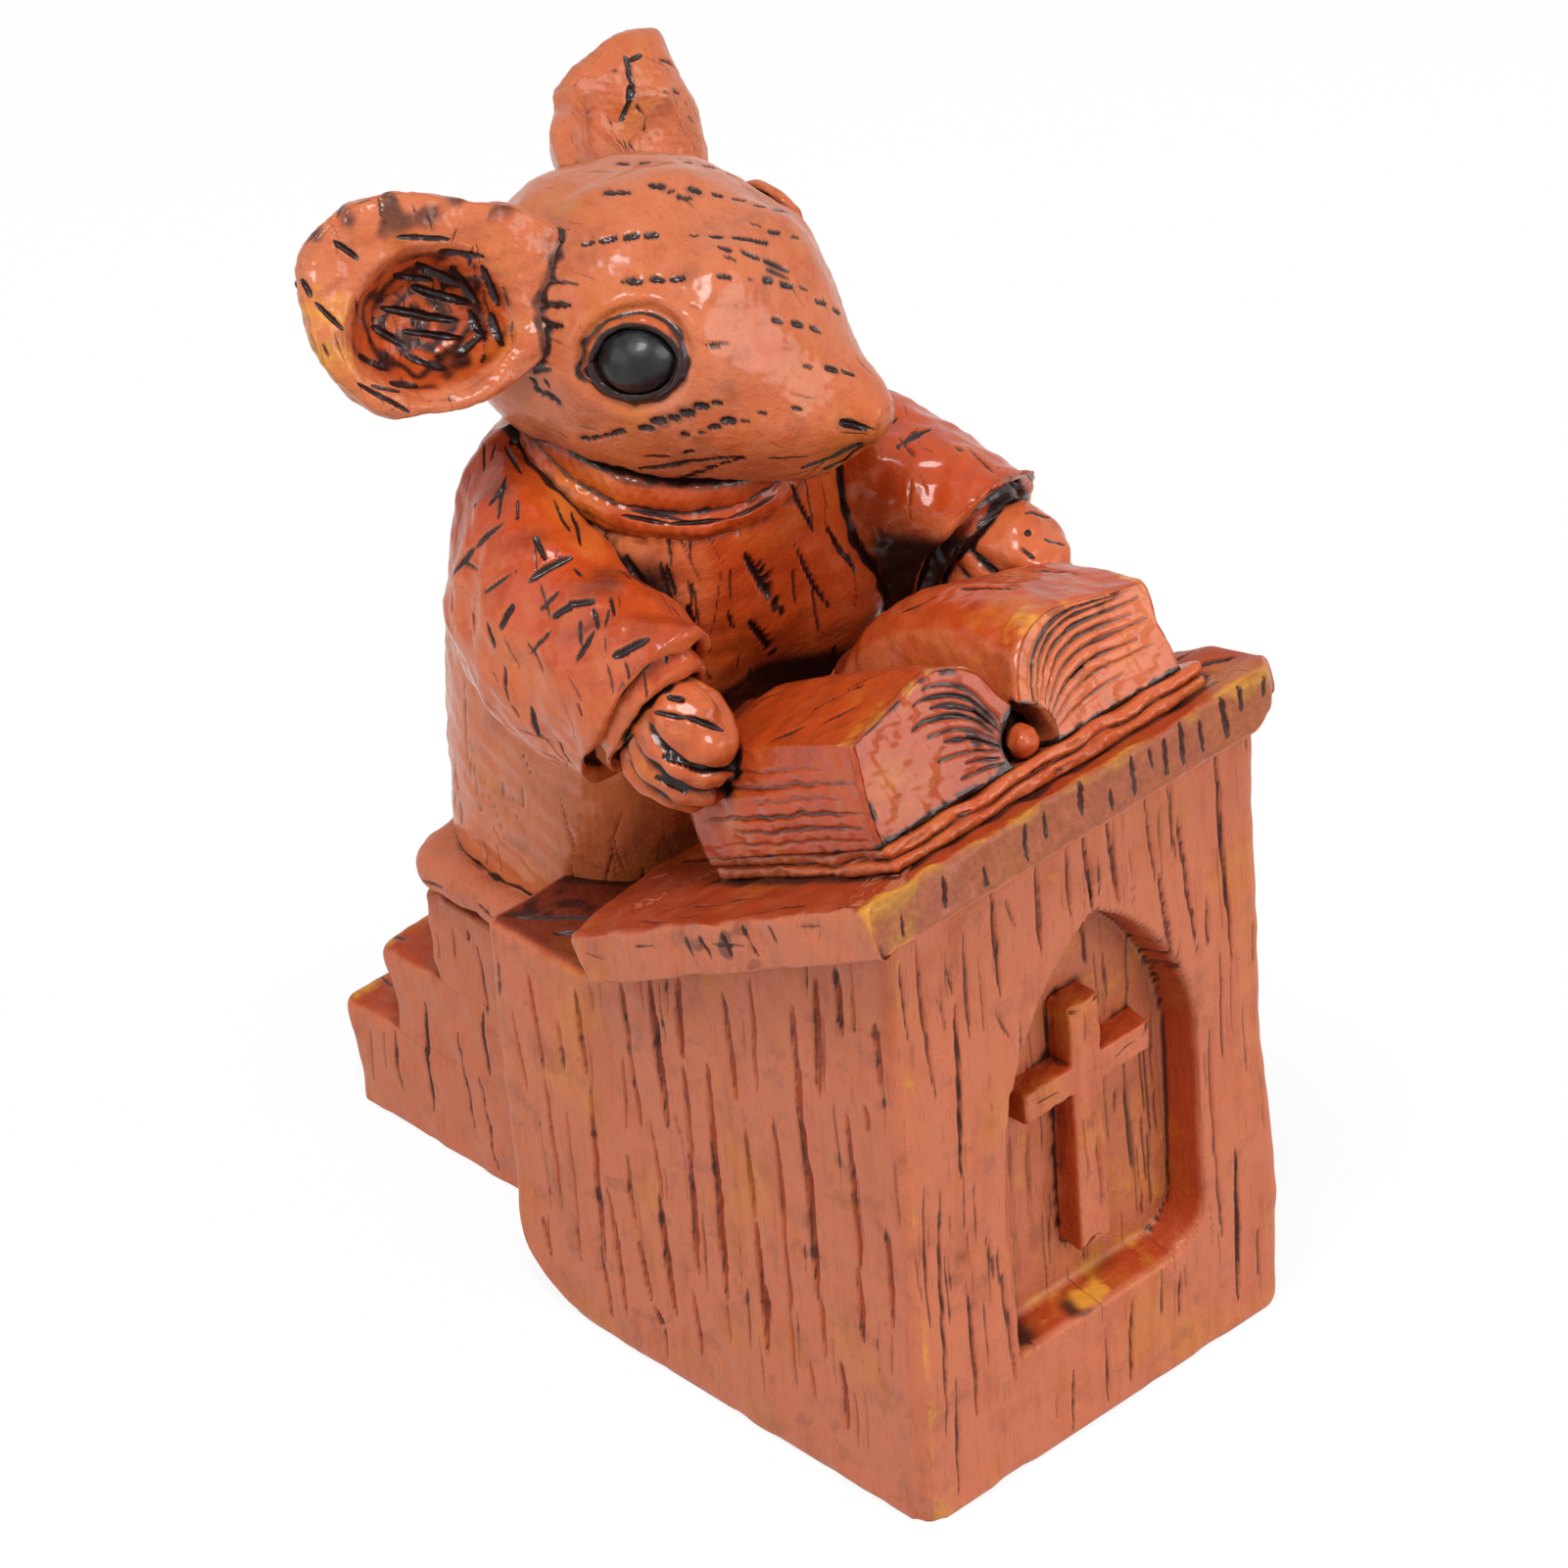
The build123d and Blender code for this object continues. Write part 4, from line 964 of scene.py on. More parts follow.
last_row, last_column = leaf_rows - 1, leaf_columns - 1
along, over = np.arange(last_row), np.arange(last_column)
rim = (np.concatenate([along, np.full(last_column, last_row), last_row - along, np.zeros(last_column, int)]),
       np.concatenate([np.zeros(last_row, int), over, np.full(last_row, last_column), last_column - over]))


def leaf_patch(crown, foot_x):
    """A patch between four curves: the sum of the blends between the two pairs of
    facing curves, less the blend of the four corners."""
    turn_at = np.radians(np.linspace(-33, 66, leaf_columns))
    hollow = np.stack([hollow_round * np.cos(turn_at), hollow_height + hollow_round * np.sin(turn_at)], 1)
    hollow[-6:] = flow([hollow[-7], (0.35, 4.25), crown[0]], np.linspace(0.2, 1, 6))
    roof = even(flow(crown, 300), 200)
    roof = np.stack([np.interp(t[:, 0], np.linspace(0, 1, 200), roof[:, k]) for k in (0, 1)], 1)
    edge = flow([(foot_x, cover_thick), (foot_x - 0.05, 3.0), (foot_x - 0.25, 4.4), (crown[-1][0] + 0.15, 6.2),
                 crown[-1]], leaf_columns)
    foot = np.stack([hollow[0, 0] + (foot_x - hollow[0, 0]) * t[:, 0], np.full(leaf_rows, cover_thick)], 1)
    hollow[0, 1] = cover_thick
    s, q = t[..., None], p[..., None]
    return ((1 - q) * foot[:, None] + q * roof[:, None] + (1 - s) * hollow[None] + s * edge[None]
            - (1 - s) * (1 - q) * foot[0] - s * (1 - q) * foot[-1] - (1 - s) * q * roof[0] - s * q * roof[-1])


# %% Pages
heart = np.array([5.5, 4.5])
backs = np.concatenate([[0.02, 0.07, 0.15, 0.28], np.linspace(0.42, page_long - 0.3, 120),
                        [page_long - 0.12, page_long]])
pull = np.concatenate([[0.2, 0.12, 0.05, 0.0], np.zeros(120), [0.08, 0.2]])
share = (backs / page_long)[:, None]
taper = 1 - narrowing * share
for name, side, foot_x, swell_high in (("page_block_right", -1, 11.35, 0.25), ("page_block_left", 1, 10.9, 2.0)):
    patch = leaf_patch(crowns[name], foot_x)
    fan_cuts = gouge_rows(fans[name], 0.62, 1.3, 0.95)
    fan_deep, fan_dark = carve(np.stack([t * 11.0, p * 6.6], -1).reshape(-1, 2), fan_cuts)
    loop = patch[rim]
    sleeve = loop[None] + unit(heart - loop)[None] * pull[:, None, None]
    over_top = ease(sleeve[..., 1], 5.2, 7.0)
    swell = np.sin(np.pi * np.clip(share * 1.05, 0, 1)) * swell_high
    sh = sleeve[..., 1] + over_top * swell
    sh = sh - over_top * 0.5 * ease(share, 0.75, 1.0)
    sv = page_front + backs[:, None] * np.ones(len(loop))
    sleeve = on_desk(side * (sleeve[..., 0] * taper), sv, sh + board_thick)
    from_rim = np.minimum(np.minimum(t, 1 - t) * 12, np.minimum(p, 1 - p) * 8)
    inner = patch + (heart - patch) * 0.03 * np.clip(1 - from_rim, 0, 1)[..., None]
    front = on_desk(side * inner[..., 0], page_front + fan_deep.reshape(t.shape), inner[..., 1] + board_thick)
    rear_h = patch[..., 1] - 0.5 * ease(patch[..., 1], 5.2, 7.0) + board_thick
    rear = on_desk(side * patch[..., 0] * taper[-1], np.full(t.shape, page_front + page_long), rear_h)
    front[rim], rear[rim] = sleeve[0], sleeve[-1]
    n_front, n_sleeve = t.size, sleeve.shape[0] * sleeve.shape[1]
    points = np.concatenate([front.reshape(-1, 3), sleeve.reshape(-1, 3), rear.reshape(-1, 3)])
    patch_tris = net_tris(leaf_rows, leaf_columns, False)
    tris = np.concatenate([patch_tris[:, ::-1], net_tris(*sleeve.shape[:2]) + n_front, patch_tris + n_front + n_sleeve])
    stain = np.concatenate([fan_dark, np.zeros(n_sleeve + n_front)])
    on_sleeve = np.repeat([False, True, False], (n_front, n_sleeve, n_front))
    points, tris, stain, on_sleeve = weld(points, tris, stain, on_sleeve)
    normals = normals_of(points, tris)
    points += normals * (0.05 * lumps(points, 2.2, 61) + 0.02 * lumps(points, 0.8, 62))[:, None]
    x, v, h = desk_measures(points)
    outer_side = (normals[:, 0] * side > 0.7) & on_sleeve
    wavy = h + 0.07 * np.sin(v * 0.8) + 0.05 * lumps(points, 2.0, 63)
    deep, dark = carve_sides(
        (np.stack([v, wavy], 1), lanes, outer_side, 1.3, 1.2, 0.75),
        (np.stack([x, v], 1), leaf_marks[name], (normals @ off_desk > 0.5) & on_sleeve))
    gutter = ease(1.1 - np.abs(x), 0, 0.8) * ease(7.9 - h, 0, 1.0)
    hollow_dark = ease(2.2 - np.hypot(x, h - 5.45), 0, 0.25) * (v < 3.2)
    on_top = ease(normals @ off_desk, 0.4, 0.8)
    brown = 0.8 * gutter + 0.4 * hollow_dark + (0.45 * ease(v, 13.0, 17.0) + 0.06) * on_top
    brown = brown + 0.4 * ease(4.85 - h, 0, 0.3)
    # The near block's front face gets a darker band, partly a brown film and partly painted shade on a face the lamps
    # light strongly; the far block is painted paler overall, a painted light on its shaded front.
    body, top_warm, corner = (0.95, 0.25, 0) if side < 0 else (0.4, 0.5, 0.3 * ease(x, 9.6, 10.8) * on_top)
    piece("leaves_" + name.split("_")[-1], points - normals * deep[:, None], tris, glossy, name,
          wash_and_shade=dark + 0.9 * stain + brown + 0.30 * (v < 0.6) * (side < 0),
          warm=body + top_warm * on_top + 0.35 * outer_side,
          wear_and_light=0.35 * ease(h, 9.6, 10.6) * (v < 1.5) + corner, ridge_share=0.3)

# %% [markdown]
# The rolled spine shows as a ball in the hollow. A plain ball would leave the hollow
# open behind it, so one profile is turned round the hollow's axis: the ball, a stem,
# and a flange that shuts the hollow.

# %% Rolled spine
spine_h = hollow_height + board_thick
profile = flow([(0.0, 0.0), (0.45, 0.08), (0.8, 0.38), (0.95, 0.85), (0.8, 1.4), (0.65, 1.9), (1.0, 2.25), (1.7, 2.4),
                (1.7, 2.9), (0.0, 3.0)], 70)
angle = np.linspace(0, 2 * np.pi, 90, endpoint=False)
radius, depth = profile[:, :1], profile[:, 1:]
back_from = page_front - 0.1 + depth * np.ones(90)
points, tris = shell(on_desk(radius * np.cos(angle), back_from, radius * np.sin(angle) + spine_h))
points += normals_of(points, tris) * (0.05 * lumps(points, 1.1, 64))[:, None]
v = (points - desk_edge) @ down
piece("spine_roll", points, tris, glossy, "book_spine_roll",
      wash_and_shade=0.8 * ease(v, 0.75, 1.5), warm=0.7, join_share=0.4)

# %% [markdown]
# The steps are three worn blocks under a rounded landing. Separate plain boxes would
# show straight seams at their sides, so all three share the same lumps in space, and
# where a step passes under the next one its rounded edge is filled out again.

# %% Steps
half_stair, tread_round, skin_out = 7.75, 0.6, 0.22
steps = (
    ("lowest_step", "stair_bottom_step", 0.0, 7.0, 37.3, 33.7, 0.3),
    ("middle_step", "stair_middle_step", 7.0, 12.5, 33.7, 29.4, 0.04),
    ("highest_step", "stair_top_step", 12.5, 18.5, 29.4, 28.0, 0.04),
)
step_marks = [
    (28.0, 16.1, 27.9, 14.3, 1), (26.6, 17.1, 26.5, 14.7, 1), (32.8, 6.9, 32.6, 2.8, 2), (29.9, 10.2, 30.1, 2.4, 3),
    (27.1, 9.6, 26.5, 2.2, 2), (24.7, 12.1, 24.7, 7.6, 3), (25.5, 7.2, 24.6, 0.9, 2), (24.5, 16.9, 24.3, 11.9, 2),
    (33.8, 6.4, 33.8, 3.8, 1), (25.3, 17.4, 25.2, 16.8, 2), (21.5, 17.0, 21.2, 9.0, 3), (19.0, 15.0, 18.8, 4.0, 3),
    (22.4, 8.0, 22.2, 2.0, 2), (35.3, 5.8, 35.2, 2.2, 1),
]
for k, (own_name, name, foot_z, top_z, rear_y, next_y, low_round) in enumerate(steps):
    corners = [(-half_stair, 16.6), (half_stair, 16.6), (half_stair, rear_y), (-half_stair, rear_y)]
    outline, ways = round_outline(corners, [0.3, 0.3, 0.7, 0.7], [0.6, 0.2, 0.2, 0.14])
    spine = np.column_stack([outline[:, 0] * 0.3, np.clip(outline[:, 1], 22, rear_y - 5)])
    rows = drawn(low_round, (1, 0.5, 0.15, 0.04), foot_z) + under_edge(low_round, foot_z, np.linspace(0, 1.5, 4))
    rows += upward(np.arange(foot_z + 0.35, top_z - tread_round, 0.16))
    rows += over_edge(tread_round, top_z - tread_round, np.linspace(0.2, math.pi / 2, 7))
    rows += inward(tread_round, np.linspace(0.15, 4.2, 26), top_z) + drawn(4.8, np.linspace(0.1, 1, 5), top_z)
    grid = ring_rows(outline, ways, spine, rows)
    covered = ease(next_y - grid[..., 1], -0.8, 0.8) * (np.abs(ways[:, 0]) > 0.9)
    at_edge = np.abs(np.abs(outline[:, 0]) - np.abs(grid[..., 0])) < tread_round + 0.01
    covered = covered * (at_edge & (grid[..., 2] > top_z - tread_round - 0.02))
    grid[..., 0] += (outline[:, 0] - grid[..., 0]) * covered
    lean = 0.9 * ease(grid[..., 1], rear_y - 3, rear_y) * (1 - (grid[..., 2] - foot_z) / (top_z - foot_z))
    grid[..., 1] -= lean * (1 if k else 0.8)
    grid[..., 0] *= 1 - 0.004 * k
    points, tris = shell(grid)
    normals = normals_of(points, tris)
    worn = 0.13 * lumps(points, 5.0, 70) + 0.04 * lumps(points, 1.6, 75) + skin_out
    points += normals * (worn * (points[:, 2] >= 0.3))[:, None]
    far = scattered(9, (18, foot_z + 1), (rear_y - 1, top_z - 1), (1.5, 4), (1, 3), 81 + k)
    behind = scattered(12, (-7, foot_z + 1), (7, top_z - 1), (1.2, 4), (1, 3), 85 + k)
    on_tread = scattered(9, (-7, rear_y - 4), (7, rear_y), (0.8, 2.4), (1, 3), 88 + k, 0.2)
    deep, dark = carve_sides((points[:, [1, 2]], step_marks, normals[:, 0] < -0.8),
                             (points[:, [1, 2]], far, normals[:, 0] > 0.8),
                             (points[:, [0, 2]], behind, normals[:, 1] > 0.7),
                             (points[:, :2], on_tread, normals[:, 2] > 0.8))
    tread = ease(normals[:, 2], 0.5, 0.9)
    piece(own_name, points - normals * deep[:, None], tris, satin, name,
          wash_and_shade=dark + 0.35 * tread * ease(rear_y - points[:, 1], 2.5, 4.0), warm=0.1 + 0.8 * tread,
          wear_and_light=0.45 * tread * ease(points[:, 1], rear_y - 1.6, rear_y - 0.4), join_share=0.12)

# %% Landing
corners = [(-8.9, 16.65), (8.9, 16.65), (8.9, 29.2), (-8.9, 29.2)]
outline, ways = round_outline(corners, [0.5, 0.5, 2.5, 2.5], [0.5, 0.2, 0.2, 0.13])
spine = np.column_stack([outline[:, 0] * 0.4, np.clip(outline[:, 1], 21, 25)])
neck_inset, neck_low, landing_top = 2.1, 18.5, 22.1
profile = flow([(neck_inset, neck_low), (2.0, 19.3), (1.9, 19.9), (1.2, 20.15), (0.3, 20.3), (0.0, 20.75),
                (-0.02, 21.3), (0.2, 21.8), (0.7, 22.05), (1.3, landing_top)], 46)
rows = drawn(neck_inset, (1, 0.4), neck_low) + [(i, 0, z) for i, z in profile]
rows += inward(1.3, np.linspace(0.15, 3.0, 18), landing_top) + drawn(4.3, (0.2, 0.6, 1), landing_top)
points, tris = shell(ring_rows(outline, ways, spine, rows))
normals = normals_of(points, tris)
points += normals * (0.16 * lumps(points, 4.5, 91) + 0.04 * lumps(points, 1.3, 92) + skin_out)[:, None]
side_marks = [(27.2, 20.7, 25.2, 21.2, 2), (22.4, 21.3, 20.8, 21.0, 2), (24.6, 19.8, 24.5, 18.7, 2),
              (21.0, 20.0, 21.1, 18.7, 2), (18.6, 21.2, 17.2, 21.0, 2)]
rear_marks = [(-5, 21.0, -2.4, 21.3, 2), (0.4, 20.8, 3.6, 21.0, 1), (-3.6, 19.9, -3.5, 18.7, 2),
              (2.2, 19.9, 2.3, 18.7, 2), (5.4, 21.2, 6.8, 21.0, 2)]
deep, dark = carve_sides((points[:, [1, 2]], side_marks, np.abs(normals[:, 0]) > 0.5),
                         (points[:, [0, 2]], rear_marks, normals[:, 1] > 0.5))
under = ease(20.3 - points[:, 2], 0, 0.6)
piece("rounded_landing", points - normals * deep[:, None], tris, satin, "landing_slab",
      wash_and_shade=dark + 0.35 * under, warm=-0.25 + 0.6 * under, join_share=0.45)

# %% [markdown]
# The figure is made of ovals too, but carried along bent lines: up the robe, down
# each arm, from the back of the skull to the nose. It could be sculpted freely or grown
# from balls that melt together, but then nothing could be held to the photo. So one
# function takes sections, each with a middle, two half axes and a squareness, runs one
# smooth curve through each of their numbers, and spaces the rows evenly along the skin.

# %% Skins round a line


def ring_skin(sections, rows, columns, open_end=False):
    """The grid c + a cos'(t) + b sin'(t), where cos' and sin' are cos and sin to the
    power 2/n for a squareness n, kept in sign. Closed ends shrink to a point."""
    s = np.array(sections, float)
    fine = flow(s, 600)
    edges = fine[:, :3] + fine[:, 3:6], fine[:, :3] - fine[:, 6:9]
    steps = sum(np.linalg.norm(np.diff(edge, axis=0), axis=1) for edge in edges)
    run = np.concatenate([[0], np.cumsum(steps)])
    s = flow(s, np.interp(np.linspace(0, run[-1], rows), run, np.linspace(0, 1, 600)))
    t = np.linspace(0, 2 * np.pi, columns, endpoint=False)
    power = 2 / s[:, 9:10]
    ct = np.sign(np.cos(t)) * np.abs(np.cos(t)) ** power
    st = np.sign(np.sin(t)) * np.abs(np.sin(t)) ** power
    grid = s[:, None, :3] + ct[..., None] * s[:, None, 3:6] + st[..., None] * s[:, None, 6:9]
    first, last = (np.repeat(s[k, None, None, :3], columns, 1) for k in (0, -1))
    return np.concatenate([first, grid] if open_end else [first, grid, last])


def laid_out(middle, axes, measures):
    """Places from their measures along three axes that meet in a middle."""
    return sum((m[..., None] * axis for axis, m in zip(axes, measures)), middle)


def dig(points, tris, marks, lump, seed):
    """Adds lumps of the given sizes and heights along the normals, sinks the marks and
    gives the new points and their stain."""
    normals = normals_of(points, tris)
    for k, (size, height) in enumerate(lump):
        points = points + normals * (height * lumps(points, size, seed + k))[:, None]
    deep, dark = carve(points, gouge_rows(marks) if len(marks) else [], None, normals)
    return points - normals * deep[:, None], dark


def hairs(points, tris, way, count, length, size, seed):
    """Fine strokes at random places of a skin, along the part of the given direction
    that lies in the skin, turned a little at random."""
    rng = np.random.default_rng(seed)
    pick = rng.integers(0, len(points), count)
    normals = normals_of(points, tris)[pick]
    run = way + 0.18 * rng.normal(size=(count, 3))
    run = unit(run - normals * (run * normals).sum(1, keepdims=True)) * rng.uniform(*length, count)[:, None] / 2
    return np.column_stack([points[pick] - run, points[pick] + run, rng.uniform(*size, count)])


# %% [markdown]
# The robe is a squarish column that leans forward as it rises. Each mark on it, and on
# all of the figure, is two places in space and a size: the places were read off the
# photo against the camera. A lap closes the gap beside the far sleeve, as the cloth does.

# %% Robe
robe_marks = [
    (-7.6, 12.7, 49.6, -7.6, 10.8, 48.5, 4), (-6.6, 9.5, 48.9, -6, 8.1, 45.4, 5),
    (-1.4, 6.6, 47.8, 1.1, 6.8, 42.7, 5), (-1.3, 6.7, 43.4, 0.8, 7.3, 40, 4),
    (-4.8, 7.4, 45.9, -4.3, 7.5, 42.2, 4), (4.8, 7, 46.2, 5.5, 7.4, 43.1, 3), (2.2, 6, 50.6, 3.7, 6.8, 46.6, 3),
    (-2.6, 6.8, 44.5, -2.3, 6.8, 43.3, 2), (-3.9, 7.5, 41, -3.4, 7.5, 40.2, 1),
    (-7.5, 10.1, 46.1, -6.9, 9.2, 45.1, 2), (2.2, 6.6, 46.6, 3.8, 7.3, 41.6, 2),
    (-4.5, 7.5, 47.4, -4.6, 7.3, 45.3, 1), (-0.4, 6.6, 46.8, 0.7, 6.7, 44.5, 2),
    (-7.1, 9.2, 51.7, -5.4, 7.5, 51, 3), (-5.4, 7.5, 51, -2.5, 6, 50.5, 3), (-2.5, 6, 50.5, 1.2, 5.6, 50.5, 2),
    (-6.5, 9.2, 51.8, -4.4, 7.2, 50.9, 1), (-8.5, 21.8, 37.4, -8.1, 23, 29, 1),
    (-7.6, 24.8, 29.6, -7.2, 25.9, 24.9, 1), (-8.4, 20, 30.4, -8.1, 20.2, 28.8, 1),
    (-7.7, 24.6, 26.9, -7.5, 24.9, 24.3, 1), (-8.4, 18.3, 31.2, -8.1, 18.6, 29.2, 1),
    (-2.4, 6.7, 47.7, -2.3, 6.9, 44.9, 1),
]
near_sleeve_marks = [
    (-12.9, 16.1, 47.8, -12.3, 14.8, 49.7, 4), (-12.3, 14.8, 49.7, -11.1, 12.9, 51.7, 4),
    (-7.6, 17.3, 52.8, -7.6, 17.3, 52.8, 3), (-9.2, 18.4, 52.1, -9.2, 18.4, 52.1, 2),
    (-12.9, 10.1, 50.1, -10.9, 9.2, 50.9, 5), (-13.4, 8, 49, -12.9, 7.1, 49.8, 4),
    (-12.8, 7.2, 49.8, -12.2, 6.2, 50.1, 4), (-13.9, 5.8, 47.5, -13.1, 5.2, 49.1, 3),
    (-13.4, 3.4, 48.5, -12.1, 2.1, 49.4, 5), (-14.3, 11, 47.5, -13.8, 10.6, 48.7, 4),
    (-14.5, 9.2, 43.2, -14.3, 9.2, 41.3, 4), (-14.2, 12, 47.3, -14.4, 11.5, 46.2, 3),
    (-14.5, 10.9, 45.2, -14.6, 10.7, 43.1, 2), (-13.4, 15.8, 45.2, -13.3, 15.7, 43.8, 2),
    (-12.6, 15.6, 48.9, -13.1, 13.8, 49.2, 1), (-11.1, 16, 51.3, -11.1, 16, 51.3, 2),
    (-13.6, 12.9, 48.4, -12.8, 11.2, 50.1, 2), (-14.4, 9, 46.7, -13.8, 7.9, 48.3, 2),
    (-14.2, 7.7, 41.5, -13.6, 7.5, 40, 2), (-14.2, 10.7, 41.3, -14.1, 7.9, 41.1, 1),
    (-14.5, 11.7, 44.5, -14.6, 11.3, 44.2, 1), (-11, 15, 51.7, -10.2, 14.8, 52.2, 2),
    (-11.4, 11.3, 51.3, -11.9, 10.1, 50.9, 3), (-13.4, 9, 49, -12.7, 8.3, 50, 2),
    (-13.3, 14.1, 46.7, -14.1, 13, 45.4, 2), (-14, 6.9, 41, -7.8, 14.1, 32.8, 1),
]
robe_shares = [(0.0, -0.15, 0.86, 0.82), (0.13, -0.12, 0.9, 0.9), (0.37, -0.04, 0.97, 0.97), (0.6, 0.06, 1.0, 1.0),
               (0.8, 0.12, 0.96, 0.93), (0.93, 0.16, 0.78, 0.76), (1.0, 0.19, 0.54, 0.54)]
robe_foot, robe_high, robe_wide, robe_deep = 22.1, 32.0, 9.6, 10.1
sections = [(0.5, 18.0 - f * 19.8, robe_foot + u * robe_high, w * robe_wide, 0, 0, 0, d * robe_deep, 0, 2.7)
            for u, f, w, d in robe_shares]
points, tris = shell(ring_skin(sections, 226, 410))
threads = hairs(points, tris, np.array([0, 0, 1.0]), 260, (0.8, 4.5), (-0.3, 1.2), 102)
marks = np.concatenate([robe_marks, near_sleeve_marks, threads])
points, dark = dig(points, tris, marks, ((7.0, 0.12), (2.4, 0.05), (0.8, 0.015)), 101)
x, y, z = points.T
chest = ease(-y + 0.3 * x, -12, -6)
heading = np.arctan2(y - 17.0, x - 0.5)
lap = 2.8 * bell(heading, -0.95, 0.34) * ease(z, 25, 33) * ease(47 - z, 0, 7)
points[:, :2] += lap[:, None] * np.stack([np.cos(heading), np.sin(heading)], 1)
# Painted shade on the robe: it is darkened behind the book and under the near sleeve.
behind_book = ease(40.6 - z - 0.25 * np.abs(x), 0, 2.2) * ease(z, 29, 32) * ease(10.5 - y, 0, 2)
armpit = ease(-heading, 2.0, 2.25) * ease(2.8 + heading, 0, 0.3) * ease(z, 35, 39) * ease(51 - z, 0, 4)
piece("robe", points, tris, glossy, "robe_body",
      wash_and_shade=dark + 0.15 * chest + 0.9 * behind_book + 0.8 * armpit, warm=0.15 + 0.75 * chest,
      join_share=1.2 - 0.9 * ease(z, 47.0, 49.5))

# %% [markdown]
# The collar is two soft rolls that lean forward round the neck. Two plain rings would
# meet in a sharp gap, so both rolls are one profile, carried round an oval whose plane
# is tipped, and the crease between them takes the wash.

# %% Collar
lean = math.radians(17)
collar_middle = np.array([0, 13.6, 51.6])
collar_out = np.array([0, math.cos(lean), math.sin(lean)])
collar_up = np.array([0, -math.sin(lean), math.cos(lean)])
profile = flow([(-2.0, 0.0), (0.7, -0.2), (1.05, 0.35), (1.0, 0.9), (0.75, 1.25), (0.45, 1.5), (0.5, 1.9), (0.42, 2.5),
                (0.1, 3.0), (-0.6, 3.05), (-2.0, 2.9)], 70)
t = np.linspace(0, 2 * np.pi, 360, endpoint=False)
out, rise = profile[:, :1], profile[:, 1:]
grid = laid_out(collar_middle, (across, collar_out, collar_up),
                ((7.1 + out) * np.cos(t), (6.8 + out) * np.sin(t), rise * np.ones(360)))
points, tris = shell(np.concatenate([grid, grid[:1]]))
points, dark = dig(points, tris, robe_marks, ((3.0, 0.10), (0.9, 0.03)), 111)
rise = (points - collar_middle) @ collar_up
# Under the chin the top edge of the collar is darkened: a painted shadow of the chin. The crease between the rolls
# takes the dark wash.
piece("neck_rolls", points, tris, glossy, "robe_collar", warm=0.85, join_share=0.35,
      wash_and_shade=0.06 + dark + 0.5 * ease(rise, 2.7, 3.0) + 0.22 * bell(rise, 1.42, 0.14))

# %% [markdown]
# The sleeves run from inside the shoulder to an open cuff that leans back at its foot.
# A tube with thickness would need a second wall all the way, so only the cuff has one:
# it ends in a rolled rim, and its lining goes a little way in to meet the wrist. The far
# shoulder lies lower and fills out towards the chest.

# %% Sleeves
far_sleeve_marks = [
    (9.3, 7.2, 46.4, 10.4, 6.5, 48.3, 5), (10.4, 6.5, 48.3, 13.1, 6.2, 49.4, 4),
    (11, 8.4, 48.9, 12.4, 8.1, 49.6, 4), (9.1, 10.7, 46.3, 9.5, 9, 47, 3),
    (10.6, 6.4, 48.5, 12.2, 6.7, 49.3, 2), (12.6, 4.1, 49.1, 12.6, 3.7, 49, 2),
    (11.1, 5.3, 48.8, 11.3, 4.8, 48.6, 1), (12.8, 1.4, 48.5, 15.5, 3.8, 45.1, 1),
]
arm_tilt = math.radians(30)
arm_front = np.array([0, -math.cos(arm_tilt), -math.sin(arm_tilt)])
arm_up = np.array([0, -math.sin(arm_tilt), math.cos(arm_tilt)])
sleeve_shares = [(0.66, 1.0, 0.42, 0.72, 0.6, 0.5), (0.86, 0.8, 0.24, 0.94, 0.86, 0.7),
                 (0.98, 0.45, 0.1, 1.04, 0.96, 0.85), (1.0, 0.0, 0.0, 1.0, 1.0, 1.0)]
cuff_lip = flow([(0.99, 0.08), (0.96, 0.15), (0.91, 0.17), (0.86, 0.08), (0.83, -0.15), (0.8, -0.3), (0.78, -0.1),
                 (0.77, 0.4), (0.75, 0.85), (0.71, 1.05), (0.65, 1.05), (0.57, 0.8), (0.45, 0.5), (0.2, 0.3),
                 (0.0, 0.3)], 44)
cuff_near, cuff_far = (10.8, 43.6), (13.0, 42.6)
arms = (("sleeve_right", -1, *cuff_near, near_sleeve_marks, 330),
        ("sleeve_left", 1, *cuff_far, far_sleeve_marks, 250))


def cuff_section(side, spread_mm, height, spread, back, rise, wide, high, tilt):
    """A section of the arm: its middle, half axes across and up its own leaning plane."""
    tilt = math.radians(30 * tilt)
    drop = 0.9 * (1 - back) if side > 0 else 0.0
    fill = (1.3 * math.sin(math.pi * min(back / 0.8, 1.0)) + 0.3) if side > 0 else 0.0
    tall = high * 6.7 + 0.4 * fill + drop
    middle = side * spread * spread_mm - fill, 4.4 + back * 14.8, height + rise * 13.4 - 0.4 * fill - drop
    return (*middle, wide * 3.8 + fill, 0, 0, 0, -math.sin(tilt) * tall, math.cos(tilt) * tall, 2.2)


